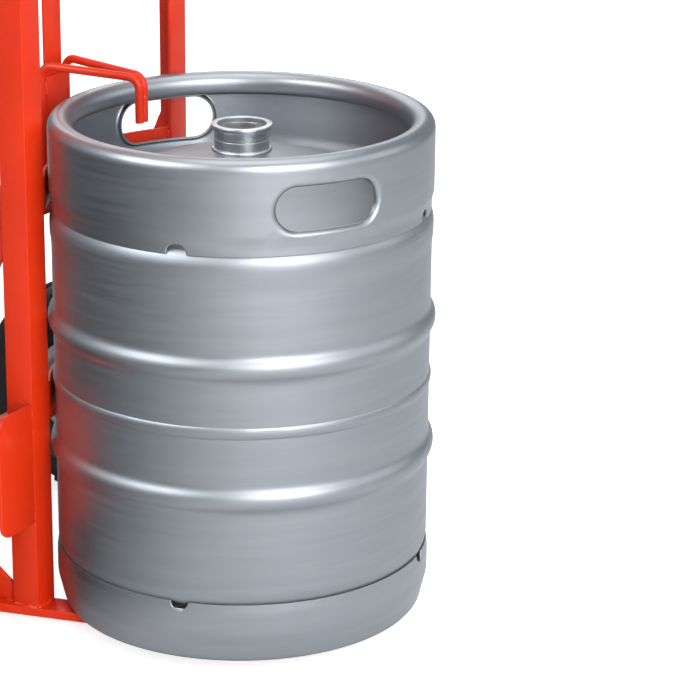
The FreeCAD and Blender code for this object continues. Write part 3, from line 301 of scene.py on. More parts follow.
class Bench:
    """The modelling steps that every piece uses."""

    @staticmethod
    def clear() -> None:
        """Leave edit mode and deselect everything."""
        if bpy.context.object is not None and bpy.context.object.mode != "OBJECT":
            bpy.ops.object.mode_set(mode="OBJECT")
        bpy.ops.object.select_all(action="DESELECT")

    @classmethod
    def only(cls, piece: bpy.types.Object) -> None:
        """Select one piece alone and make it active."""
        cls.clear()
        piece.select_set(True)
        bpy.context.view_layer.objects.active = piece

    @classmethod
    def edit(cls, piece: bpy.types.Object, select_all: bool = True) -> None:
        """Open a piece in edit mode, with all or none of it selected."""
        cls.only(piece)
        bpy.ops.object.mode_set(mode="EDIT")
        bpy.ops.mesh.select_all(action="SELECT" if select_all else "DESELECT")

    @classmethod
    def pick(cls, piece: bpy.types.Object, mode: str, test: Callable[[Any], bool]) -> int:
        """Select the parts of a mesh in edit mode that a test accepts.

        Args:
            piece: The object in edit mode.
            mode: VERT, EDGE or FACE.
            test: Says whether a vertex, edge or face is wanted.

        Returns:
            How many were selected.
        """
        bpy.ops.mesh.select_mode(type=mode)
        bpy.ops.mesh.select_all(action="DESELECT")
        shape = bmesh.from_edit_mesh(piece.data)
        group = {"VERT": shape.verts, "EDGE": shape.edges, "FACE": shape.faces}[mode]
        count = 0
        for item in group:
            if test(item):
                item.select_set(True)
                count += 1
        shape.select_flush_mode()
        bmesh.update_edit_mesh(piece.data)
        return count

    @classmethod
    def modify(cls, piece: bpy.types.Object, kind: str, **settings: Any) -> None:
        """Add a modifier with its settings and apply it."""
        cls.only(piece)
        modifier = piece.modifiers.new(kind.lower(), kind)
        for key, value in settings.items():
            setattr(modifier, key, value)
        bpy.ops.object.modifier_apply(modifier=modifier.name)

    @classmethod
    def smooth(cls, piece: bpy.types.Object, degrees: float) -> None:
        """Shade a piece smooth, with edges sharper than an angle kept."""
        cls.only(piece)
        bpy.ops.object.shade_smooth_by_angle(angle=math.radians(degrees))

    @classmethod
    def tidy(cls, piece: bpy.types.Object, merge_mm: float = 0.01) -> None:
        """Merge doubled points and turn the faces outwards."""
        cls.edit(piece)
        bpy.ops.mesh.remove_doubles(threshold=merge_mm * MM)
        bpy.ops.mesh.select_all(action="SELECT")
        bpy.ops.mesh.normals_make_consistent(inside=False)
        cls.clear()

    @classmethod
    def join(cls, pieces: Sequence[bpy.types.Object], name: str) -> bpy.types.Object:
        """Join several meshes into one named piece."""
        cls.clear()
        for piece in pieces:
            piece.select_set(True)
        bpy.context.view_layer.objects.active = pieces[0]
        bpy.ops.object.join()
        pieces[0].name = name
        pieces[0].data.name = name
        return pieces[0]

    @classmethod
    def copy(cls, piece: bpy.types.Object) -> bpy.types.Object:
        """Return a copy of a piece with its own mesh."""
        cls.only(piece)
        bpy.ops.object.duplicate(linked=False)
        return bpy.context.object

    @classmethod
    def sheet(cls, name: str, columns: int, rows: int) -> bpy.types.Object:
        """Add a flat sheet of faces, one unit square, from the origin.

        Args:
            name: The piece's name.
            columns: Faces along X.
            rows: Faces along Y.

        Returns:
            The new sheet.
        """
        cls.clear()
        bpy.ops.mesh.primitive_grid_add(x_subdivisions=columns, y_subdivisions=rows, size=1.0,
                                        location=(0.5, 0.5, 0.0))
        piece = bpy.context.object
        piece.name = name
        bpy.ops.object.transform_apply(location=True, rotation=False, scale=False)
        return piece

    @classmethod
    def lathe(cls, name: str, outline: Sequence[Flat], steps: int,
              closed: bool = False) -> bpy.types.Object:
        """Turn an outline of radius and height once round the vertical axis.

        Args:
            name: The piece's name.
            outline: Radius and height of each point, in millimetres.
            steps: Faces round the piece.
            closed: Whether the last point joins the first.

        Returns:
            The turned piece.
        """
        cls.clear()
        bpy.ops.mesh.primitive_plane_add(size=1.0, location=(0.0, 0.0, 0.0))
        piece = bpy.context.object
        piece.name = name
        cls.edit(piece)
        bpy.ops.mesh.delete(type="VERT")
        shape = bmesh.from_edit_mesh(piece.data)
        verts = [shape.verts.new((r * MM, 0.0, z * MM)) for r, z in outline]
        ends = verts[1:] + verts[:1] if closed else verts[1:]
        for first, second in zip(verts, ends):
            shape.edges.new((first, second))
        bmesh.update_edit_mesh(piece.data)
        bpy.ops.mesh.select_all(action="SELECT")
        bpy.ops.mesh.spin(steps=steps, angle=math.tau, center=(0.0, 0.0, 0.0), axis=(0.0, 0.0, 1.0))
        cls.clear()
        cls.tidy(piece)
        return piece

    @classmethod
    def reshape(cls, piece: bpy.types.Object, move: Callable[[np.ndarray], np.ndarray]) -> None:
        """Move every point of a mesh by one rule.

        Args:
            piece: The object whose mesh changes.
            move: Turns an array of points into their new places.
        """
        cls.clear()
        mesh = piece.data
        points = np.empty(len(mesh.vertices) * 3)
        mesh.vertices.foreach_get("co", points)
        mesh.vertices.foreach_set("co", move(points.reshape(-1, 3)).reshape(-1))
        mesh.update()

    @classmethod
    def place(cls, piece: bpy.types.Object, matrix: Matrix) -> None:
        """Put a mesh in its place, with its object left at the origin."""
        piece.data.transform(matrix)
        piece.data.update()

    @classmethod
    def dress(cls, piece: bpy.types.Object, material: bpy.types.Material) -> None:
        """Give a piece one material all over."""
        piece.data.materials.clear()
        piece.data.materials.append(material)

    @classmethod
    def finish(cls, piece: bpy.types.Object, body: str, material: bpy.types.Material, slot: str,
               stands_for: Iterable[str] = ()) -> None:
        """Dress a finished piece and fix it to its body.

        Args:
            piece: The finished piece.
            body: The body that it rides on.
            material: Its material.
            slot: Name of a material slot; not used.
            stands_for: The nodes that it replaces.
        """
        cls.dress(piece, material)
        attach(piece, body)
        nodes = list(stands_for)
        if nodes:
            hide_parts(*nodes)
        LOG.info("%s: %d faces on %s", piece.name, len(piece.data.polygons), body)


@dataclass(frozen=True)
class Section:
    """A sheet's outer skin as straight runs with rounded corners.

    Attributes:
        corners: Radius or offset, height and bend radius of each corner.
        outward: One if the outside lies to the right of the way along, else minus one.
    """

    corners: tuple[tuple[float, float, float], ...]
    outward: float = 1.0

    def points(self, step_mm: float = 0.5) -> np.ndarray:
        """Return closely spaced points along the skin."""
        spots: list[np.ndarray] = []
        here = np.array(self.corners[0][:2])
        for before, corner, after in zip(self.corners, self.corners[1:], self.corners[2:]):
            middle = np.array(corner[:2])
            way_in = middle - np.array(before[:2])
            way_in /= np.linalg.norm(way_in)
            way_out = np.array(after[:2]) - middle
            way_out /= np.linalg.norm(way_out)
            turn = math.acos(max(-1.0, min(1.0, float(way_in @ way_out))))
            reach = corner[2] * math.tan(turn / 2)
            start, end = middle - way_in * reach, middle + way_out * reach
            spots += self._run(here, start, step_mm)
            if corner[2] > 0 and turn > 1e-4:
                inward = (way_out - way_in) / np.linalg.norm(way_out - way_in)
                centre = middle + inward * corner[2] / math.cos(turn / 2)
                count = max(2, int(corner[2] * turn / step_mm))
                first = start - centre
                sign = 1.0 if way_in[0] * way_out[1] - way_in[1] * way_out[0] > 0 else -1.0
                for index in range(count):
                    angle = sign * turn * index / count
                    cos, sin = math.cos(angle), math.sin(angle)
                    spots.append(centre + np.array([first[0] * cos - first[1] * sin, first[0] * sin
                                                    + first[1] * cos]))
            here = end
        spots += self._run(here, np.array(self.corners[-1][:2]), step_mm)
        spots.append(np.array(self.corners[-1][:2]))
        return np.array(spots)

    @staticmethod
    def _run(start: np.ndarray, end: np.ndarray, step_mm: float) -> list[np.ndarray]:
        """Return points from the start up to, but not at, the end."""
        length = float(np.linalg.norm(end - start))
        if length < 1e-6:
            return []
        count = max(1, int(length / step_mm))
        return [start + (end - start) * index / count for index in range(count)]

    def table(self) -> tuple[np.ndarray, np.ndarray, np.ndarray]:
        """Return distances along the skin, its points and its outward normals."""
        spots = self.points()
        along = np.concatenate([[0.0], np.cumsum(np.linalg.norm(np.diff(spots, axis=0), axis=1))])
        tangent = np.gradient(spots, along, axis=0)
        tangent /= np.linalg.norm(tangent, axis=1)[:, None]
        normal = np.stack([tangent[:, 1], -tangent[:, 0]], 1) * self.outward
        return along, spots, normal

    def length(self) -> float:
        """Return the skin's whole length."""
        return float(self.table()[0][-1])

    def lifted(self, way: np.ndarray, height: np.ndarray) -> tuple[np.ndarray, np.ndarray]:
        """Return both coordinates of points at distances along the skin and heights above it."""
        along, spots, normal = self.table()
        first, second = (np.interp(way, along, spots[:, axis]) + height
                         * np.interp(way, along, normal[:, axis])
                         for axis in (0, 1))
        return first, second

    def wrap(self, flat: np.ndarray) -> np.ndarray:
        """Roll a flat sheet to the section, round the vertical axis.

        Args:
            flat: Turn in radians, distance along the skin and height above it in millimetres.

        Returns:
            Points in metres.
        """
        r, z = self.lifted(flat[:, 1], flat[:, 2])
        return np.stack([r * np.cos(flat[:, 0]), r * np.sin(flat[:, 0]), z], 1) * MM


@dataclass(frozen=True)
class Opening:
    """A flanged opening in a chime, round-ended, with a rolled lip.

    Attributes:
        turn: Place round the keg in degrees.
        along: Place along the skin.
        core: Half the distance between the centres of the round ends.
        radius: Radius of the round ends where the lip meets the skin.
        lip: Radius of the lip's roll.
        depth: How far the lip reaches in.
        margin: Sheet round the opening that is laid out anew.
    """

    turn: float
    along: float
    core: float
    radius: float
    lip: float
    depth: float
    margin: float


@dataclass
class Chime:
    """One of the keg's two rings: pressed sheet, pierced, then rolled.

    Attributes:
        name: The piece's name.
        node: The node that it stands for.
        section: Its outer skin.
        openings: Hand holes and drains.
        wall: Sheet thickness.
        radius: Radius at which lengths round the ring are true.
        columns: Faces round the ring.
        row: Height of a row of faces.
    """

    name: str
    node: str
    section: Section
    openings: tuple[Opening, ...]
    wall: float = 2.2
    radius: float = 200.0
    columns: int = 360
    row: float = 3.3

    def pierce(self, piece: bpy.types.Object, opening: Opening, rows: int, length: float) -> None:
        """Cut one opening in the flat sheet and draw its lip.

        Args:
            piece: The flat sheet, with turn, distance and height as coordinates.
            opening: The opening to make.
            rows: Rows of faces in the sheet.
            length: The sheet's length along the skin.
        """
        turn = math.radians(opening.turn) % math.tau
        step_x, step_y = math.tau / self.columns, length / rows
        wide = (opening.core + opening.radius + opening.margin) / self.radius
        tall = opening.radius + opening.margin
        x0, x1 = round((turn - wide) / step_x) * step_x, round((turn + wide) / step_x) * step_x
        y0, y1 = round((opening.along - tall) / step_y) * step_y, round((opening.along + tall)
                                                                        / step_y) * step_y
        slack = step_x / 4

        def inside(x: float, y: float, grow: float) -> bool:
            return (x0 - grow * slack < x < x1 + grow * slack
                    and y0 - grow * step_y / 4 < y < y1 + grow * step_y / 4)

        Bench.edit(piece, select_all=False)
        Bench.pick(piece, "FACE",
                   lambda face: inside(face.calc_center_median().x, face.calc_center_median().y, 0.0))
        bpy.ops.mesh.delete(type="FACE")

        def on_rim(edge: bmesh.types.BMEdge) -> bool:
            if not edge.is_boundary:
                return False
            ends = [vert.co for vert in edge.verts]
            near = all(inside(end.x, end.y, 1.0) for end in ends)
            open_edge = all(end.y < step_y / 4 for end in ends)
            return near and not open_edge

        rings = [(opening.radius + opening.margin * 0.45, 0.0), (opening.radius + 0.6, 0.0)]
        for degree in range(0, 91, 15):
            angle = math.radians(degree)
            rings.append((opening.radius - opening.lip * math.sin(angle), opening.lip
                          * (1 - math.cos(angle))))
        if opening.depth > opening.lip:
            rings.append((opening.radius - opening.lip, opening.depth))
        Bench.pick(piece, "EDGE", on_rim)
        for reach, depth in rings:
            bpy.ops.mesh.extrude_edges_move()
            shape = bmesh.from_edit_mesh(piece.data)
            for vert in shape.verts:
                if not vert.select:
                    continue
                u, v = (vert.co.x - turn) * self.radius, vert.co.y - opening.along
                core = max(-opening.core, min(opening.core, u))
                du, dv = u - core, v
                size = math.hypot(du, dv)
                vert.co.x = turn + (core + du / size * reach) / self.radius
                vert.co.y = opening.along + dv / size * reach
                vert.co.z = -depth
            bmesh.update_edit_mesh(piece.data)
        Bench.clear()

    def build(self, seat: "KegSeat", material: bpy.types.Material) -> bpy.types.Object:
        """Make the ring and set it on the keg.

        Args:
            seat: Where the keg stands.
            material: The ring's material.

        Returns:
            The finished ring.
        """
        length = self.section.length()
        rows = round(length / self.row)
        piece = Bench.sheet(self.name, self.columns, rows)
        Bench.reshape(piece, lambda p: p * np.array([math.tau, length, 1.0]))
        for opening in self.openings:
            self.pierce(piece, opening, rows, length)
        Bench.reshape(piece, self.section.wrap)
        Bench.tidy(piece)
        Bench.modify(piece, "SOLIDIFY", thickness=self.wall * MM, offset=-1.0, use_even_offset=False)
        Bench.smooth(piece, 40.0)
        Bench.place(piece, seat.matrix())
        Bench.finish(piece, "keg", material, "keg_steel", [self.node])
        return piece


@dataclass
class KegSeat:
    """Where the keg stands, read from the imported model."""

    x: float = 0.0
    y: float = 0.0
    foot: float = 0.0

    @classmethod
    def read(cls) -> "KegSeat":
        """Return the keg's axis and the height of its foot."""
        low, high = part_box("keg_neck")
        return cls((low.x + high.x) / 2, (low.y + high.y) / 2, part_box("keg_foot_chime")[0].z)

    def matrix(self) -> Matrix:
        """Return the move from the keg's own axis to its place."""
        return Matrix.Translation((self.x, self.y, self.foot))

    def axis(self) -> Vector:
        """Return a point on the keg's axis."""
        return Vector((self.x, self.y, 0.0))


@dataclass
class Keg:
    """The keg: its shells keep their solids, and its chimes and neck are made anew."""

    hand_turns: tuple[float, ...] = (236.0, 56.0)
    drain_turns: tuple[float, ...] = (11.0, 101.0, 191.0, 281.0)
    hand_height: float = 481.0
    neck_top: float = 520.7
    neck_radius: float = 28.75
    neck_bore: float = 24.75
    flange_radius: float = 32.0
    neck_foot: float = 493.4
    seam: float = 252.0
    body: float = 198.5

    def top_section(self) -> Section:
        """Return the top chime's skin, from its seam over the rolled rim."""
        return Section(((197.6, 435.4, 0.0), (197.6, 445.4, 21.0), (200.0, 455.4, 21.0),
                        (200.0, 532.0, 12.2),
                        (175.4, 532.0, 12.2), (175.4, 509.6, 6.0), (190.0, 505.4, 0.0)))

    def foot_section(self) -> Section:
        """Return the foot chime's skin, from its seam down to the rolled edge."""
        return Section(((198.5, 66.6, 0.0), (200.0, 56.6, 21.0), (200.0, 32.0, 30.0), (192.4, 0.0, 7.0),
                        (177.4, 0.0, 6.0), (177.4, 12.1, 0.0)), outward=-1.0)

    def openings(self) -> tuple[tuple[Opening, ...], tuple[Opening, ...]]:
        """Return the openings of the top and of the foot chime."""
        along = 10.0 + math.hypot(2.4, 10.0) + self.hand_height - 455.4
        hands = tuple(Opening(turn, along, 34.5, 28.5, 6.2, 6.2, 6.0) for turn in self.hand_turns)
        top = tuple(Opening(turn, 0.0, 0.0, 11.8, 1.2, 2.0, 5.0) for turn in self.drain_turns)
        foot = tuple(Opening(turn, 0.0, 0.0, 10.3, 1.2, 2.0, 5.0) for turn in self.drain_turns)
        return hands + top, foot

    def neck(self, seat: KegSeat, material: bpy.types.Material) -> None:
        """Turn the neck, with its grooved flange and softened edges."""
        bore, tube, flange = self.neck_bore, self.neck_radius, self.flange_radius
        top, foot = self.neck_top, self.neck_foot
        outline = [(bore, foot - 6), (bore, top - 6.0), (bore + 0.3, top - 5.6), (bore + 0.3, top - 1.0),
                   (bore + 1.1, top - 0.1), (bore + 1.8, top), (flange - 1.0, top),
                   (flange - 0.3, top - 0.3),
                   (flange, top - 1.0), (flange, top - 4.4), (flange - 0.4, top - 5.2),
                   (flange - 1.2, top - 5.5),
                   (tube + 0.9, top - 5.5), (tube + 0.25, top - 5.9), (tube, top - 6.8),
                   (tube, top - 13.0),
                   (tube - 0.5, top - 13.6), (tube - 0.5, top - 15.4), (tube, top - 16.0),
                   (tube, foot - 6)]
        piece = Bench.lathe("keg_neck_turned", outline, 96, closed=True)
        Bench.smooth(piece, 30.0)
        Bench.place(piece, seat.matrix())
        Bench.finish(piece, "keg", material, "keg_steel", ["keg_neck"])

    def neck_weld(self, seat: KegSeat, material: bpy.types.Material, foot: float) -> None:
        """Lay the rippled weld bead round the neck's foot.

        Args:
            seat: Where the keg stands.
            material: The bead's material.
            foot: Height of the dome at the neck.
        """
        piece = Bench.sheet("keg_neck_weld", 240, 10)

        def roll(p: np.ndarray) -> np.ndarray:
            turn, round_bead = p[:, 0] * math.tau, p[:, 1] * math.tau
            ripple = 1.9 + 0.28 * np.abs(np.sin(turn * 30)) + 0.1 * np.sin(turn * 7)
            r = self.neck_radius + 0.5 + ripple * np.cos(round_bead)
            z = foot + 0.4 + ripple * np.sin(round_bead)
            return np.stack([r * np.cos(turn), r * np.sin(turn), z], 1) * MM

        Bench.reshape(piece, roll)
        Bench.tidy(piece)
        Bench.smooth(piece, 60.0)
        Bench.place(piece, seat.matrix())
        Bench.finish(piece, "keg", material, "keg_steel")

    def seam_band(self, seat: KegSeat, material: bpy.types.Material) -> None:
        """Roll the raised band of the girth weld that joins the two shells."""
        half, rise, skin = 6.4, 1.9, self.body
        outline = [(skin - 0.8, self.seam - half - 0.6)]
        for index in range(25):
            share = index / 12 - 1
            swell = (1 - share ** 2) ** 0.8
            outline.append((skin - 0.15 + rise * swell, self.seam + half * share))
        outline.append((skin - 0.8, self.seam + half + 0.6))
        piece = Bench.lathe("keg_girth_weld", outline, 240)

        def waver(p: np.ndarray) -> np.ndarray:
            turn = np.arctan2(p[:, 1], p[:, 0])
            swing = 1.0 + (0.10 * np.sin(turn * 11) + 0.08 * np.sin(turn * 29 + 1.0)) * MM / (self.body
                                                                                              * MM)
            return p * np.stack([swing, swing, np.ones(len(p))], 1)

        Bench.reshape(piece, waver)
        Bench.smooth(piece, 60.0)
        Bench.place(piece, seat.matrix())
        Bench.finish(piece, "keg", material, "keg_steel")

    def build(self, nodes: dict[str, bpy.types.Object]) -> None:
        """Make the keg's pieces and dress its solids.

        Args:
            nodes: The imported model's nodes by name.
        """
        seat = KegSeat.read()
        steel = KEG_STEEL.build(seat.axis())
        chime = CHIME_STEEL.build(seat.axis())
        turned = TURNED_STEEL.build(seat.axis())
        rubber = VALVE_RUBBER.build(seat.axis())
        top, foot = self.openings()
        Chime("keg_rim_pressed", "keg_top_chime", self.top_section(), top).build(seat, chime)
        Chime("keg_foot_pressed", "keg_foot_chime", self.foot_section(), foot).build(seat, chime)
        self.neck(seat, turned)
        self.neck_weld(seat, turned, self.neck_foot)
        self.seam_band(seat, steel)
        for name in ("keg_lower_shell", "keg_upper_shell"):
            Bench.dress(nodes[name], steel)
        for name in ("spear_body", "spear_tube", "spear_spring"):
            Bench.dress(nodes[name], turned)
        Bench.dress(nodes["spear_valve"], rubber)
        LOG.info("keg: dressed")


@dataclass
class WeldedFrame:
    """The enamelled frame and its hook, with softened edges and weld beads.

    Attributes:
        edge: Width of a softened edge.
        flange: Thickness of the angle iron's legs.
        tack: Length of the short welds at a guard plate's ends.
        brace_top: Heights of the weld on an upper brace.
        tube_radius: Radius of the welds round the axle tube.
        taper: Turn of the base bars towards the toe, in degrees.
        tip_drop: Height of the hook's rods over their tips.
        seed: Number that varies the ripples.
        bars: Nodes that come in pairs.
        plates: Nodes that come once.
        round_parts: Nodes that keep their solids.
        beads: Beads laid and not yet joined.
    """

    edge: float = 0.9
    flange: float = 4.0
    tack: float = 30.0
    brace_top: Flat = (412.0, 492.0)
    tube_radius: float = 15.6
    taper: float = 12.0
    tip_drop: float = 57.5
    seed: int = 3
    bars: tuple[str, ...] = ("base_bar", "upright", "guard_plate", "upper_brace", "lower_brace")
    plates: tuple[str, ...] = ("toe_crossbar", "cradle_lower", "cradle_upper", "top_crossbar",
                               "rail_strap_lower",
                               "rail_strap_upper", "rail")
    round_parts: tuple[str, ...] = ("handle_left", "handle_right", "axle_tube", "hook_rod_left",
                                    "hook_rod_right")
    beads: list[bpy.types.Object] = field(default_factory=list)

    def soften(self, nodes: dict[str, bpy.types.Object], node: str, body: str,
               material: bpy.types.Material) -> None:
        """Copy a bar and round its edges as rolled bar and paint do.

        Args:
            nodes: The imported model's nodes by name.
            node: The bar's node.
            body: The body that it belongs to.
            material: Its material.
        """
        piece = Bench.copy(nodes[node])
        piece.parent = None
        for key in list(piece.keys()):
            del piece[key]
        piece.matrix_world = Matrix.Identity(4)
        piece.name = node + "_enamelled"
        Bench.only(piece)
        bpy.ops.mesh.customdata_custom_splitnormals_clear()
        Bench.edit(piece)
        bpy.ops.mesh.remove_doubles(threshold=0.01 * MM)
        bpy.ops.mesh.select_all(action="SELECT")
        bpy.ops.mesh.dissolve_limited(angle_limit=math.radians(0.5))
        Bench.clear()
        Bench.modify(piece, "BEVEL", width=self.edge * MM, segments=3, limit_method="ANGLE",
                     angle_limit=math.radians(40.0), use_clamp_overlap=True)
        Bench.smooth(piece, 35.0)
        Bench.finish(piece, body, material, "frame_paint", [node])

    def bead(self, start: Sequence[float], end: Sequence[float], size: float, seed: int) -> None:
        """Lay one rippled weld bead between two points, half sunk in the joint.

        Args:
            start: First end in millimetres.
            end: Second end in millimetres.
            size: The bead's radius.
            seed: Number that varies the ripples.
        """
        first, last = Vector(start), Vector(end)
        length = (last - first).length
        columns = max(12, int(length / 1.1))
        piece = Bench.sheet("bead", columns, 10)

        def roll(p: np.ndarray) -> np.ndarray:
            along, turn = p[:, 0] * length, p[:, 1] * math.tau
            ripple = 0.86 + 0.16 * np.abs(np.sin(along * math.pi / 3.1
                                                 + seed)) + 0.05 * np.sin(along * 0.4 + seed * 1.7)
            nose = np.sqrt(np.clip(1 - (1 - np.minimum(p[:, 0], 1 - p[:, 0]) * length
                                        / (size * 0.9)).clip(0, 1) ** 2, 0, 1))
            r = size * ripple * nose
            sway = 0.12 * size * np.sin(along * 0.3 + seed * 2.3)
            return np.stack([along, r * np.cos(turn) + sway, r * np.sin(turn)], 1) * MM

        Bench.reshape(piece, roll)
        Bench.tidy(piece, 0.02)
        turn = (last - first).to_track_quat("X", "Z").to_matrix().to_4x4()
        Bench.place(piece, Matrix.Translation(first * MM) @ turn)
        self.beads.append(piece)

    def ring_bead(self, centre: Sequence[float], radius: float, size: float) -> None:
        """Lay a weld bead round a tube that runs along X.

        Args:
            centre: The ring's centre in millimetres.
            radius: The tube's radius.
            size: The bead's radius.
        """
        piece = Bench.sheet("bead", 120, 10)

        def roll(p: np.ndarray) -> np.ndarray:
            turn, around = p[:, 0] * math.tau, p[:, 1] * math.tau
            thick = size * (0.86 + 0.16 * np.abs(np.sin(turn * 16)))
            r = radius + thick * np.cos(around)
            return np.stack([thick * np.sin(around), r * np.cos(turn), r * np.sin(turn)], 1) * MM

        Bench.reshape(piece, roll)
        Bench.tidy(piece)
        Bench.place(piece, Matrix.Translation(Vector(centre) * MM))
        self.beads.append(piece)

    def close_beads(self, name: str, body: str, material: bpy.types.Material) -> None:
        """Join the beads laid so far into one piece on a body."""
        piece = Bench.join(self.beads, name)
        Bench.smooth(piece, 60.0)
        Bench.finish(piece, body, material, "frame_paint")
        self.beads = []

    @staticmethod
    def corners(node: str) -> tuple[Vector, Vector]:
        """Return the lowest and the highest corner of a node's box, in millimetres."""
        low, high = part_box(node)
        return Vector(low) / MM, Vector(high) / MM

    def lay(self, side: Side, seams: Iterable[Seam]) -> None:
        """Lay beads on one side of the frame.

        Args:
            side: The side that they lie on.
            seams: Two ends as on the right side, a radius and a seed for each bead.
        """
        for start, end, size, seed in seams:
            first, last = ((side.value * x, y, z) for x, y, z in (start, end))
            self.bead(first, last, size, self.seed + side.value + seed)

    def upright_seams(self) -> list[Seam]:
        """Return the welds at an upright's foot and down its guard plate."""
        low, high = self.corners("upright_right")
        guard_low, guard_high = self.corners("guard_plate_right")
        side, front, back = high.x, low.y + 1.2, guard_high.y + 0.2
        return [((side - 0.4, low.y + 1, low.z), (side - 0.4, high.y - 1, low.z), 2.6, 0),
                ((side - 1, low.y + 0.4, low.z), (low.x + 6, low.y + 0.4, low.z), 2.4, 1),
                ((side, front, guard_low.z + 2), (side, front, guard_low.z + self.tack), 1.5, 2),
                ((side, front, guard_high.z - self.tack), (side, front, guard_high.z + 1.5), 1.6, 3),
                ((side, back, guard_low.z + 4), (side, back, guard_high.z - 4), 2.4, 0)]

    def plate_seams(self) -> list[Seam]:
        """Return the welds of the cradles and the top crossbar on an upright's flange."""
        low, high = self.corners("upright_right")
        back = low.y + self.flange
        seams: list[Seam] = []
        for plate in ("cradle_lower", "cradle_upper", "top_crossbar"):
            foot, top = (corner.z for corner in self.corners(plate))
            seams += [((low.x + 3, back, z), (high.x - 9, back, z), 2.0, 4) for z in (foot, top)]
            seams.append(((low.x, back + 0.2, foot + 3), (low.x, back + 0.2, top - 3), 1.8, 0))
        return seams

    def strap_seams(self) -> list[Seam]:
        """Return the welds of the rail's two straps and of an upper brace's top."""
        post = self.corners("upright_right")[1]
        low, high = self.corners("rail_strap_upper")
        seam_x, seam_y = post.x - 0.4, post.y + 0.2
        seams = [((post.x - 4, post.y + 0.3, z), (post.x - 0.6, post.y + 0.3, z), 2.0, 5)
                 for z in (low.z, high.z)]
        seams.append(((seam_x, seam_y, low.z + 1), (seam_x, seam_y, high.z - 1), 2.0, 1))
        low, high = self.corners("rail_strap_lower")
        seams.append(((high.x, low.y + 2, low.z + 1), (high.x, low.y + 2, high.z - 1), 2.2, 2))
        seam_x = self.corners("upper_brace_right")[1].x - 0.3
        seams.append(((seam_x, post.y, self.brace_top[0]), (seam_x, post.y, self.brace_top[1]), 2.2, 6))
        return seams

    def foot_seams(self) -> list[Seam]:
        """Return the welds of a lower brace at the upright's foot."""
        post = self.corners("upright_right")[1]
        low, high = self.corners("lower_brace_right")
        return [((low.x - 0.2, low.y + 8, low.z), (low.x - 0.2, low.y + 34, low.z), 2.0, 0),
                ((high.x + 0.2, post.y + 2, low.z), (high.x + 0.2, low.y + 36, low.z), 2.0, 7)]

    def handle_seams(self) -> list[Seam]:
        """Return the welds between a handle's tube and its upright."""
        low, high = self.corners("upright_right")
        tube_low, tube_high = self.corners("handle_right")
        middle = (tube_low.x + tube_high.x) / 2
        back = low.y + self.flange
        start, end = high.z - 90, high.z - 2
        inner_x, outer_x = tube_low.x + 3.2, high.x - 4.6
        return [((inner_x, back + 1.4, start), (inner_x, back + 1.4, end), 2.0, 0),
                ((outer_x, back + 21.5, start), (outer_x, back + 21.5, end), 2.0, 8),
                ((middle - 8, back + 2.0, tube_low.z), (middle + 8, back + 2.0, tube_low.z), 2.0, 0)]

    def toe_seams(self) -> list[Seam]:
        """Return the welds of the toe crossbar on a base bar, which tapers inwards."""
        low, high = self.corners("toe_crossbar")
        bar = self.corners("base_bar_right")[0]
        seams: list[Seam] = []
        for y in (low.y + 0.3, high.y):
            near = bar.x + (y - bar.y) * math.tan(math.radians(self.taper))
            seams.append(((near + 3, y, high.z), (near + 29, y, high.z), 2.2, 9))
        return seams

    def frame_beads(self) -> None:
        """Lay the frame's welds, where its bars meet."""
        tube_low, tube_high = self.corners("axle_tube")
        brace_low, brace_high = self.corners("upper_brace_right")
        axle_y, axle_z = (tube_low.y + tube_high.y) / 2, (tube_low.z + tube_high.z) / 2
        for side in Side:
            self.lay(side, self.upright_seams() + self.plate_seams() + self.strap_seams())
            for x in (brace_low.x - 0.4, brace_high.x + 0.4):
                self.ring_bead((side.value * x, axle_y, axle_z), self.tube_radius, 2.3)
            self.lay(side, self.foot_seams() + self.handle_seams() + self.toe_seams())
        rail_low, rail_high = self.corners("rail")
        y = rail_low.y + 0.2
        for strap in ("rail_strap_lower", "rail_strap_upper"):
            low, high = self.corners(strap)
            for x in (rail_low.x, rail_high.x):
                self.bead((x, y, low.z + 2), (x, y, high.z - 2), 1.9, int(x))

    def hook_beads(self) -> None:
        """Lay the welds between the hook's rods and its sleeve, and between the tips."""
        sleeve_low, sleeve_high = self.corners("hook_sleeve")
        rod_low, rod_high = self.corners("hook_rod_right")
        leg_y = rod_high.y - 4.0
        for s in (-1, 1):
            x = s * (sleeve_high.x + 0.9)
            for y in (leg_y - 3.1, leg_y + 3.1):
                for z in (sleeve_low.z + 3, sleeve_high.z - 19):
                    self.bead((x, y, z), (x, y, z + 16), 1.5, s + int(z))
        tip_z = rod_high.z - self.tip_drop
        for seed, y in enumerate((rod_low.y + 1.0, rod_low.y + 8.0)):
            self.bead((0.0, y, tip_z + 1.5), (0.0, y, tip_z + 30.0), 1.6, 4 + seed)

    def build(self, nodes: dict[str, bpy.types.Object]) -> None:
        """Make the frame's pieces and dress its solids.

        Args:
            nodes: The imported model's nodes by name.
        """
        enamel = ENAMEL.build()
        welds = WELD_ENAMEL.build()
        zinc = ZINC.build()
        for side in Side:
            for name in self.bars:
                self.soften(nodes, f"{name}_{side.word}", "frame", enamel)
        for name in self.plates:
            self.soften(nodes, name, "frame", enamel)
        self.soften(nodes, "hook_sleeve", "hook", enamel)
        for name in self.round_parts:
            Bench.dress(nodes[name], enamel)
        for name in ("axle", "split_pins", "washers_left", "washers_right"):
            Bench.dress(nodes[name], zinc)
        self.frame_beads()
        self.close_beads("frame_weld_beads", "frame", welds)
        self.hook_beads()
        self.close_beads("hook_weld_beads", "hook", welds)


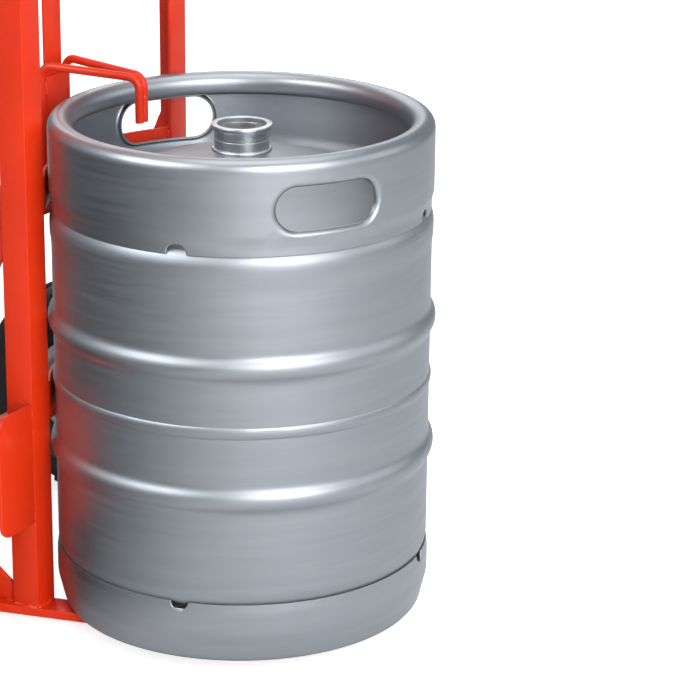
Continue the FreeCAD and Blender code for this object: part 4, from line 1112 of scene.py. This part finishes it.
@dataclass
class Grip:
    """A moulded grip: a collar, finger rings and a rounded end over the tube.

    Attributes:
        side: The side that it is on.
        length: Its whole length.
        radius: Its radius between the rings.
        collar: Radius of its collar.
        bore: Radius of the tube inside.
        rings: Finger rings along it.
        tilt: Rise of the handle in degrees.
    """

    side: Side
    length: float = 116.0
    radius: float = 16.5
    collar: float = 21.0
    bore: float = 12.6
    rings: int = 9
    tilt: float = 10.0

    def outline(self) -> list[Flat]:
        """Return the grip's outline, from its collar to its end."""
        points: list[Flat] = [(self.bore, 0.0), (self.collar - 2.2, 0.0), (self.collar - 0.7, 0.6),
                              (self.collar, 2.2),
                              (self.collar - 0.5, 4.0), (self.collar - 2.0, 5.2),
                              (self.radius + 1.2, 6.2),
                              (self.radius, 8.2)]
        start, end = 11.0, self.length - 12.0
        pitch = (end - start) / self.rings
        for index in range(self.rings):
            base = start + index * pitch
            for share in (0.0, 0.18, 0.34, 0.5, 0.66, 0.82):
                swell = 1.2 * math.sin(math.pi * share) ** 2
                points.append((self.radius - 0.4 + swell, base + share * pitch))
        points += [(self.radius - 0.2, end), (self.radius, self.length - 8),
                   (self.radius - 0.9, self.length - 3.6),
                   (self.radius - 3.0, self.length - 1.2), (self.radius - 6.0, self.length - 0.2),
                   (5.0, self.length),
                   (4.2, self.length - 0.6), (3.4, self.length - 2.0), (0.0, self.length - 2.2)]
        return points

    def build(self, material: bpy.types.Material) -> None:
        """Turn the grip and set it on its handle."""
        node = f"grip_{self.side.word}"
        low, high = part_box(node)
        piece = Bench.lathe(f"{node}_moulded", self.outline(), 72)
        Bench.smooth(piece, 50.0)
        tilt = math.radians(self.tilt)
        along = Vector((0.0, math.cos(tilt), math.sin(tilt)))
        centre_x = (low.x + high.x) / 2
        end_y = high.y - self.radius * MM * math.sin(tilt)
        reach_z = high.z - self.radius * MM * math.cos(tilt)
        start = Vector((centre_x, end_y, reach_z)) - along * self.length * MM
        turn = along.to_track_quat("Z", "X").to_matrix().to_4x4()
        Bench.place(piece, Matrix.Translation(start) @ turn)
        Bench.finish(piece, "frame", material, "grip_rubber", [node])


@dataclass
class Wheel:
    """One wheel: a new tyre on the pressed rim, hub and bolts of the solids.

    Attributes:
        side: The side that it is on.
        radius: Radius over the lugs.
        half_width: Half the tyre's width.
        lug_height: Height of the lugs over the carcass.
        lug_length: Length of a lug over the tread and down the shoulder.
        pitches: Lugs round one half of the tread.
        groove: Gap between two lugs.
        slant: Slant of the lugs in degrees.
        rib: Half the width of the rib in the tread's middle.
        wall_rings: Place, width and height of the rings on the side walls.
    """

    side: Side
    radius: float = 130.0
    half_width: float = 42.5
    lug_height: float = 6.0
    pitches: int = 28
    groove: float = 9.0
    slant: float = 24.0
    rib: float = 5.0
    lug_length: float = 52.0
    wall_rings: tuple[Spot, ...] = ((66.0, 2.0, 0.8), (80.0, 1.6, 0.6), (96.0, 2.4, 1.0))

    def skin(self) -> Section:
        """Return half of the carcass, from the middle of the tread to the bead."""
        crown = self.radius - self.lug_height
        return Section(((0.0, crown, 0.0), (18.0, crown - 0.4, 40.0),
                        (self.half_width - 0.2, crown - 9.0, 11.0),
                        (self.half_width, 88.0, 20.0), (29.0, 71.0, 8.0), (23.2, 60.0, 2.0),
                        (23.0, 50.6, 0.0)), outward=-1.0)

    def carcass(self) -> bpy.types.Object:
        """Turn the carcass with its centre rib and the rings on its walls."""
        outline: list[Flat] = []
        along, spots, normal = self.skin().table()
        for share in np.linspace(0.0, 1.0, 72):
            s = share * along[-1]
            x, r = np.interp(s, along, spots[:, 0]), np.interp(s, along, spots[:, 1])
            nx, nr = np.interp(s, along, normal[:, 0]), np.interp(s, along, normal[:, 1])
            lift = 0.0
            if s < self.rib + 2.0:
                lift = self.lug_height * min(1.0, max(0.0, (self.rib + 1.2 - s) / 1.2))
            for place, width, height in self.wall_rings:
                lift += height * math.exp(-((s - place) / width) ** 2)
            outline.append((r + nr * lift, min(x + nx * lift, self.half_width)))
        other = [(r, -x) for r, x in reversed(outline[1:])]
        inner = [(51.0, 17.5), (60.0, 17.6), (75.0, 30.0), (100.0, 35.0), (115.0, 26.0), (117.5, 0.0),
                 (115.0, -26.0), (100.0, -35.0), (75.0, -30.0), (60.0, -17.6), (51.0, -17.5)]
        return Bench.lathe("carcass", other + outline + inner, 168, closed=True)

    def lug(self) -> bpy.types.Object:
        """Shape one lug flat: turn along X, way from the middle along Y, height along Z."""
        pitch = math.tau * self.radius / self.pitches
        long, wide = self.lug_length, pitch - self.groove
        Bench.clear()
        bpy.ops.mesh.primitive_cube_add(size=1.0, location=(0.0, 0.5, 0.0))
        piece = bpy.context.object
        piece.scale = (wide, long, self.lug_height + 2.0)
        piece.location = (0.0, self.rib - 1.0 + long / 2, self.lug_height / 2 - 1.0)
        bpy.ops.object.transform_apply(location=True, rotation=True, scale=True)
        Bench.edit(piece)
        Bench.pick(piece, "EDGE", lambda edge: all(v.co.z > 0 for v in edge.verts)
                   or abs(edge.verts[0].co.z - edge.verts[1].co.z) > 1.0)
        bpy.ops.mesh.bevel(offset=1.4, segments=2, profile=0.6)
        for place in range(1, 9):
            bpy.ops.mesh.select_all(action="SELECT")
            bpy.ops.mesh.bisect(plane_co=(0.0, self.rib - 1.0 + long * place / 9, 0.0),
                                plane_no=(0.0, 1.0, 0.0))
        Bench.clear()

        def shape(p: np.ndarray) -> np.ndarray:
            y = p[:, 1]
            fall = np.clip((y - 34.0) / 18.0, 0.0, 1.0)
            x = p[:, 0] * (1.0 - 0.1
                           * np.clip(y / self.lug_length, 0,
                                     1)) + np.tan(math.radians(self.slant)) * (np.minimum(y, 40.0) - 20.0)
            z = np.where(p[:, 2] > 0, p[:, 2] * (1.0 - 0.62 * fall), p[:, 2])
            return np.stack([x, y, z], 1)

        Bench.reshape(piece, shape)
        return piece

    def tread(self) -> list[bpy.types.Object]:
        """Lay copies of the lug round both halves of the tyre."""
        master = self.lug()
        skin = self.skin()
        lugs = []
        for hand in (-1, 1):
            for index in range(self.pitches):
                copy = Bench.copy(master)
                turn = math.tau * (index + (0.5 if hand > 0 else 0.0)) / self.pitches

                def lay(p: np.ndarray) -> np.ndarray:
                    x, r = skin.lifted(p[:, 1], p[:, 2])
                    x = np.minimum(x, self.half_width)
                    angle = turn + hand * p[:, 0] / self.radius
                    return np.stack([r * np.cos(angle), r * np.sin(angle), hand * x], 1) * MM

                Bench.reshape(copy, lay)
                lugs.append(copy)
        bpy.data.objects.remove(master)
        return lugs

    def build(self, nodes: dict[str, bpy.types.Object], dress: dict[str, bpy.types.Material]) -> None:
        """Make the tyre and dress the wheel's solids.

        Args:
            nodes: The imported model's nodes by name.
            dress: The wheel's materials by part.
        """
        word = self.side.word
        low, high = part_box(f"hub_{word}")
        centre = (low + high) / 2
        carcass = self.carcass()
        lugs = self.tread()
        for piece in lugs:
            Bench.tidy(piece)
        tyre = Bench.join([carcass] + lugs, f"tyre_{word}_moulded")
        Bench.smooth(tyre, 38.0)
        turn = Matrix.Rotation(math.radians(90.0), 4, "Y")
        Bench.place(tyre, Matrix.Translation(centre) @ turn)
        Bench.finish(tyre, f"wheel_{word}", dress["tyre"], "tyre_rubber", [f"tyre_{word}"])
        for part, material in (("inner_tube", "valve"), ("tyre_valve", "valve"), ("rim_outer", "rim"),
                               ("rim_inner", "rim"), ("hub", "zinc"), ("bearings", "zinc"),
                               ("rim_bolts", "zinc")):
            Bench.dress(nodes[f"{part}_{word}"], dress[material])


@dataclass(frozen=True)
class Lamp:
    """A soft rectangular lamp.

    Attributes:
        name: The lamp's name.
        place: Where it hangs, in metres.
        aim: The point that it faces.
        size: Its width and height in metres.
        power: Its power in watts.
        use: What it lights.
    """

    name: str
    place: Spot
    aim: Spot
    size: Flat
    power: float
    use: LampUse = LampUse.ALL

    def hang(self) -> None:
        """Add the lamp to the scene, unseen by the camera."""
        data = bpy.data.lights.new(self.name, "AREA")
        data.shape = "RECTANGLE"
        data.size, data.size_y = self.size
        data.energy = self.power
        lamp = bpy.data.objects.new(self.name, data)
        bpy.context.scene.collection.objects.link(lamp)
        lamp.location = self.place
        lamp.rotation_euler = (Vector(self.aim) - Vector(self.place)).to_track_quat("-Z", "Y").to_euler()
        lamp.visible_camera = False
        lamp.visible_diffuse = self.use is not LampUse.SHEEN
        lamp.visible_glossy = self.use is not LampUse.DIFFUSE


LAMPS = (
    Lamp("key_lamp", (-2.1, -2.5, 1.9), (0.0, -0.05, 0.5), (1.5, 2.2), 76.0),
    Lamp("side_lamp", (-1.65, -1.83, 0.45), (-0.14, 0.03, 0.3), (0.5, 0.7), 14.0, LampUse.DIFFUSE),
    Lamp("sheen_lamp", (-1.1, -3.0, 1.9), (0.0, -0.1, 0.5), (1.9, 2.2), 42.0, LampUse.SHEEN),
    Lamp("fill_lamp", (1.6, -2.8, 1.6), (0.0, -0.1, 0.4), (1.8, 1.8), 14.0),
    Lamp("back_lamp", (2.2, 1.7, 2.3), (0.0, 0.0, 0.5), (2.4, 1.6), 24.0),
    Lamp("top_lamp", (0.2, -0.3, 3.2), (0.0, -0.1, 0.4), (2.4, 2.4), 38.0),
    Lamp("well_lamp", (-2.2, 1.0, 2.3), (0.0, -0.1, 0.5), (2.0, 1.6), 62.0, LampUse.SHEEN),
)


@dataclass
class Studio:
    """A pale floor with a painted dark reflection towards one side, soft lamps and the camera."""

    camera_place: tuple[float, float, float] = (-2.33488, -1.48827, 1.21445)
    camera_turn: tuple[float, float, float] = (71.173, -0.6048, -62.072)
    lens: float = 138.27
    floor_size: float = 40.0
    floor_colour: str = "F4F4F4"
    floor_lift: float = 0.75
    # The floor turns dark towards this way in reflections only: a painted dark reflection that puts
    # painted shade on the metal's side facing it.
    dim_way: tuple[float, float, float] = (-0.5, 0.87, 0.0)
    dim_share: float = 0.95
    dim_colour: str = "202224"

    def floor(self) -> None:
        """Lay the floor."""
        Bench.clear()
        bpy.ops.mesh.primitive_plane_add(size=self.floor_size, location=(0.0, 0.0, 0.0))
        piece = bpy.context.object
        piece.name = "studio_floor"
        material = bpy.data.materials.new("matt_paper_floor")
        material.use_nodes = True
        tree = material.node_tree
        tree.nodes.clear()
        path = add_node(tree, "ShaderNodeLightPath")
        place = add_node(tree, "ShaderNodeTexCoord")
        # Painted dark reflection: glossy rays see the floor darken towards one side, so the keg's steel
        # shows painted shade there; camera and diffuse rays see the pale floor.
        away = add_node(tree, "ShaderNodeVectorMath", {"operation": "NORMALIZE"},
                        links={0: place.outputs["Object"]})
        side = add_node(tree, "ShaderNodeVectorMath", {"operation": "DOT_PRODUCT"}, {1: self.dim_way},
                        {0: away.outputs[0]})
        dim = add_node(tree, "ShaderNodeMapRange", values={1: 0.1, 2: 1.0, 3: 0.0, 4: self.dim_share},
                       links={0: side.outputs[1]})
        seen = add_node(tree, "ShaderNodeMath", {"operation": "MULTIPLY"},
                        links={0: dim.outputs[0], 1: path.outputs["Is Glossy Ray"]})
        tint = add_node(tree, "ShaderNodeMix", {"data_type": "RGBA"},
                        {6: linear(self.floor_colour), 7: linear(self.dim_colour)}, {0: seen.outputs[0]})
        shader = add_node(tree, "ShaderNodeBsdfPrincipled", values={"Roughness": 0.9},
                          links={"Base Color": tint.outputs[2]})
        lift = add_node(tree, "ShaderNodeMath", {"operation": "MULTIPLY"}, {1: self.floor_lift},
                        {0: path.outputs["Is Camera Ray"]})
        glow = add_node(tree, "ShaderNodeEmission", values={"Color": (1.0, 1.0, 1.0, 1.0)},
                        links={"Strength": lift.outputs[0]})
        both = add_node(tree, "ShaderNodeAddShader", links={0: shader.outputs[0], 1: glow.outputs[0]})
        add_node(tree, "ShaderNodeOutputMaterial", links={"Surface": both.outputs[0]})
        Bench.dress(piece, material)

    def sky(self) -> None:
        """Give the world a pale even light, white where the camera sees it."""
        world = bpy.data.worlds.new("studio_world")
        world.use_nodes = True
        tree = world.node_tree
        tree.nodes.clear()
        path = add_node(tree, "ShaderNodeLightPath")
        soft = add_node(tree, "ShaderNodeBackground",
                        values={"Color": linear("E4E9F0"), "Strength": 0.45})
        white = add_node(tree, "ShaderNodeBackground",
                         values={"Color": (1.0, 1.0, 1.0, 1.0), "Strength": 1.0})
        mix = add_node(tree, "ShaderNodeMixShader",
                       links={0: path.outputs["Is Camera Ray"], 1: soft.outputs[0],
                                                           2: white.outputs[0]})
        add_node(tree, "ShaderNodeOutputWorld", links={"Surface": mix.outputs[0]})
        bpy.context.scene.world = world

    def camera(self) -> None:
        """Set up the camera at the picture's viewpoint."""
        data = bpy.data.cameras.new("studio_camera")
        data.sensor_width = 36.0
        data.lens = self.lens
        data.clip_end = 100.0
        camera = bpy.data.objects.new("studio_camera", data)
        bpy.context.scene.collection.objects.link(camera)
        camera.location = self.camera_place
        camera.rotation_euler = Euler([math.radians(v) for v in self.camera_turn])
        bpy.context.scene.camera = camera

    def build(self) -> None:
        """Set up the whole studio."""
        bpy.context.scene.view_settings.view_transform = "Standard"
        self.floor()
        self.sky()
        for lamp in LAMPS:
            lamp.hang()
        self.camera()


def main() -> None:
    """Build the trolley, its keg and the studio."""
    logging.basicConfig(level=logging.INFO, format="%(message)s")
    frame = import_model()
    nodes = frame["nodes"]
    WeldedFrame().build(nodes)
    for side in Side:
        Grip(side).build(GRIP_PVC.build())
    dress = {"tyre": TYRE_RUBBER.build(), "rim": RIM_ENAMEL.build(), "zinc": ZINC.build(),
             "valve": VALVE_RUBBER.build()}
    for side in Side:
        Wheel(side).build(nodes, dress)
    Keg().build(nodes)
    Studio().build()


if __name__ == "__main__":
    main()
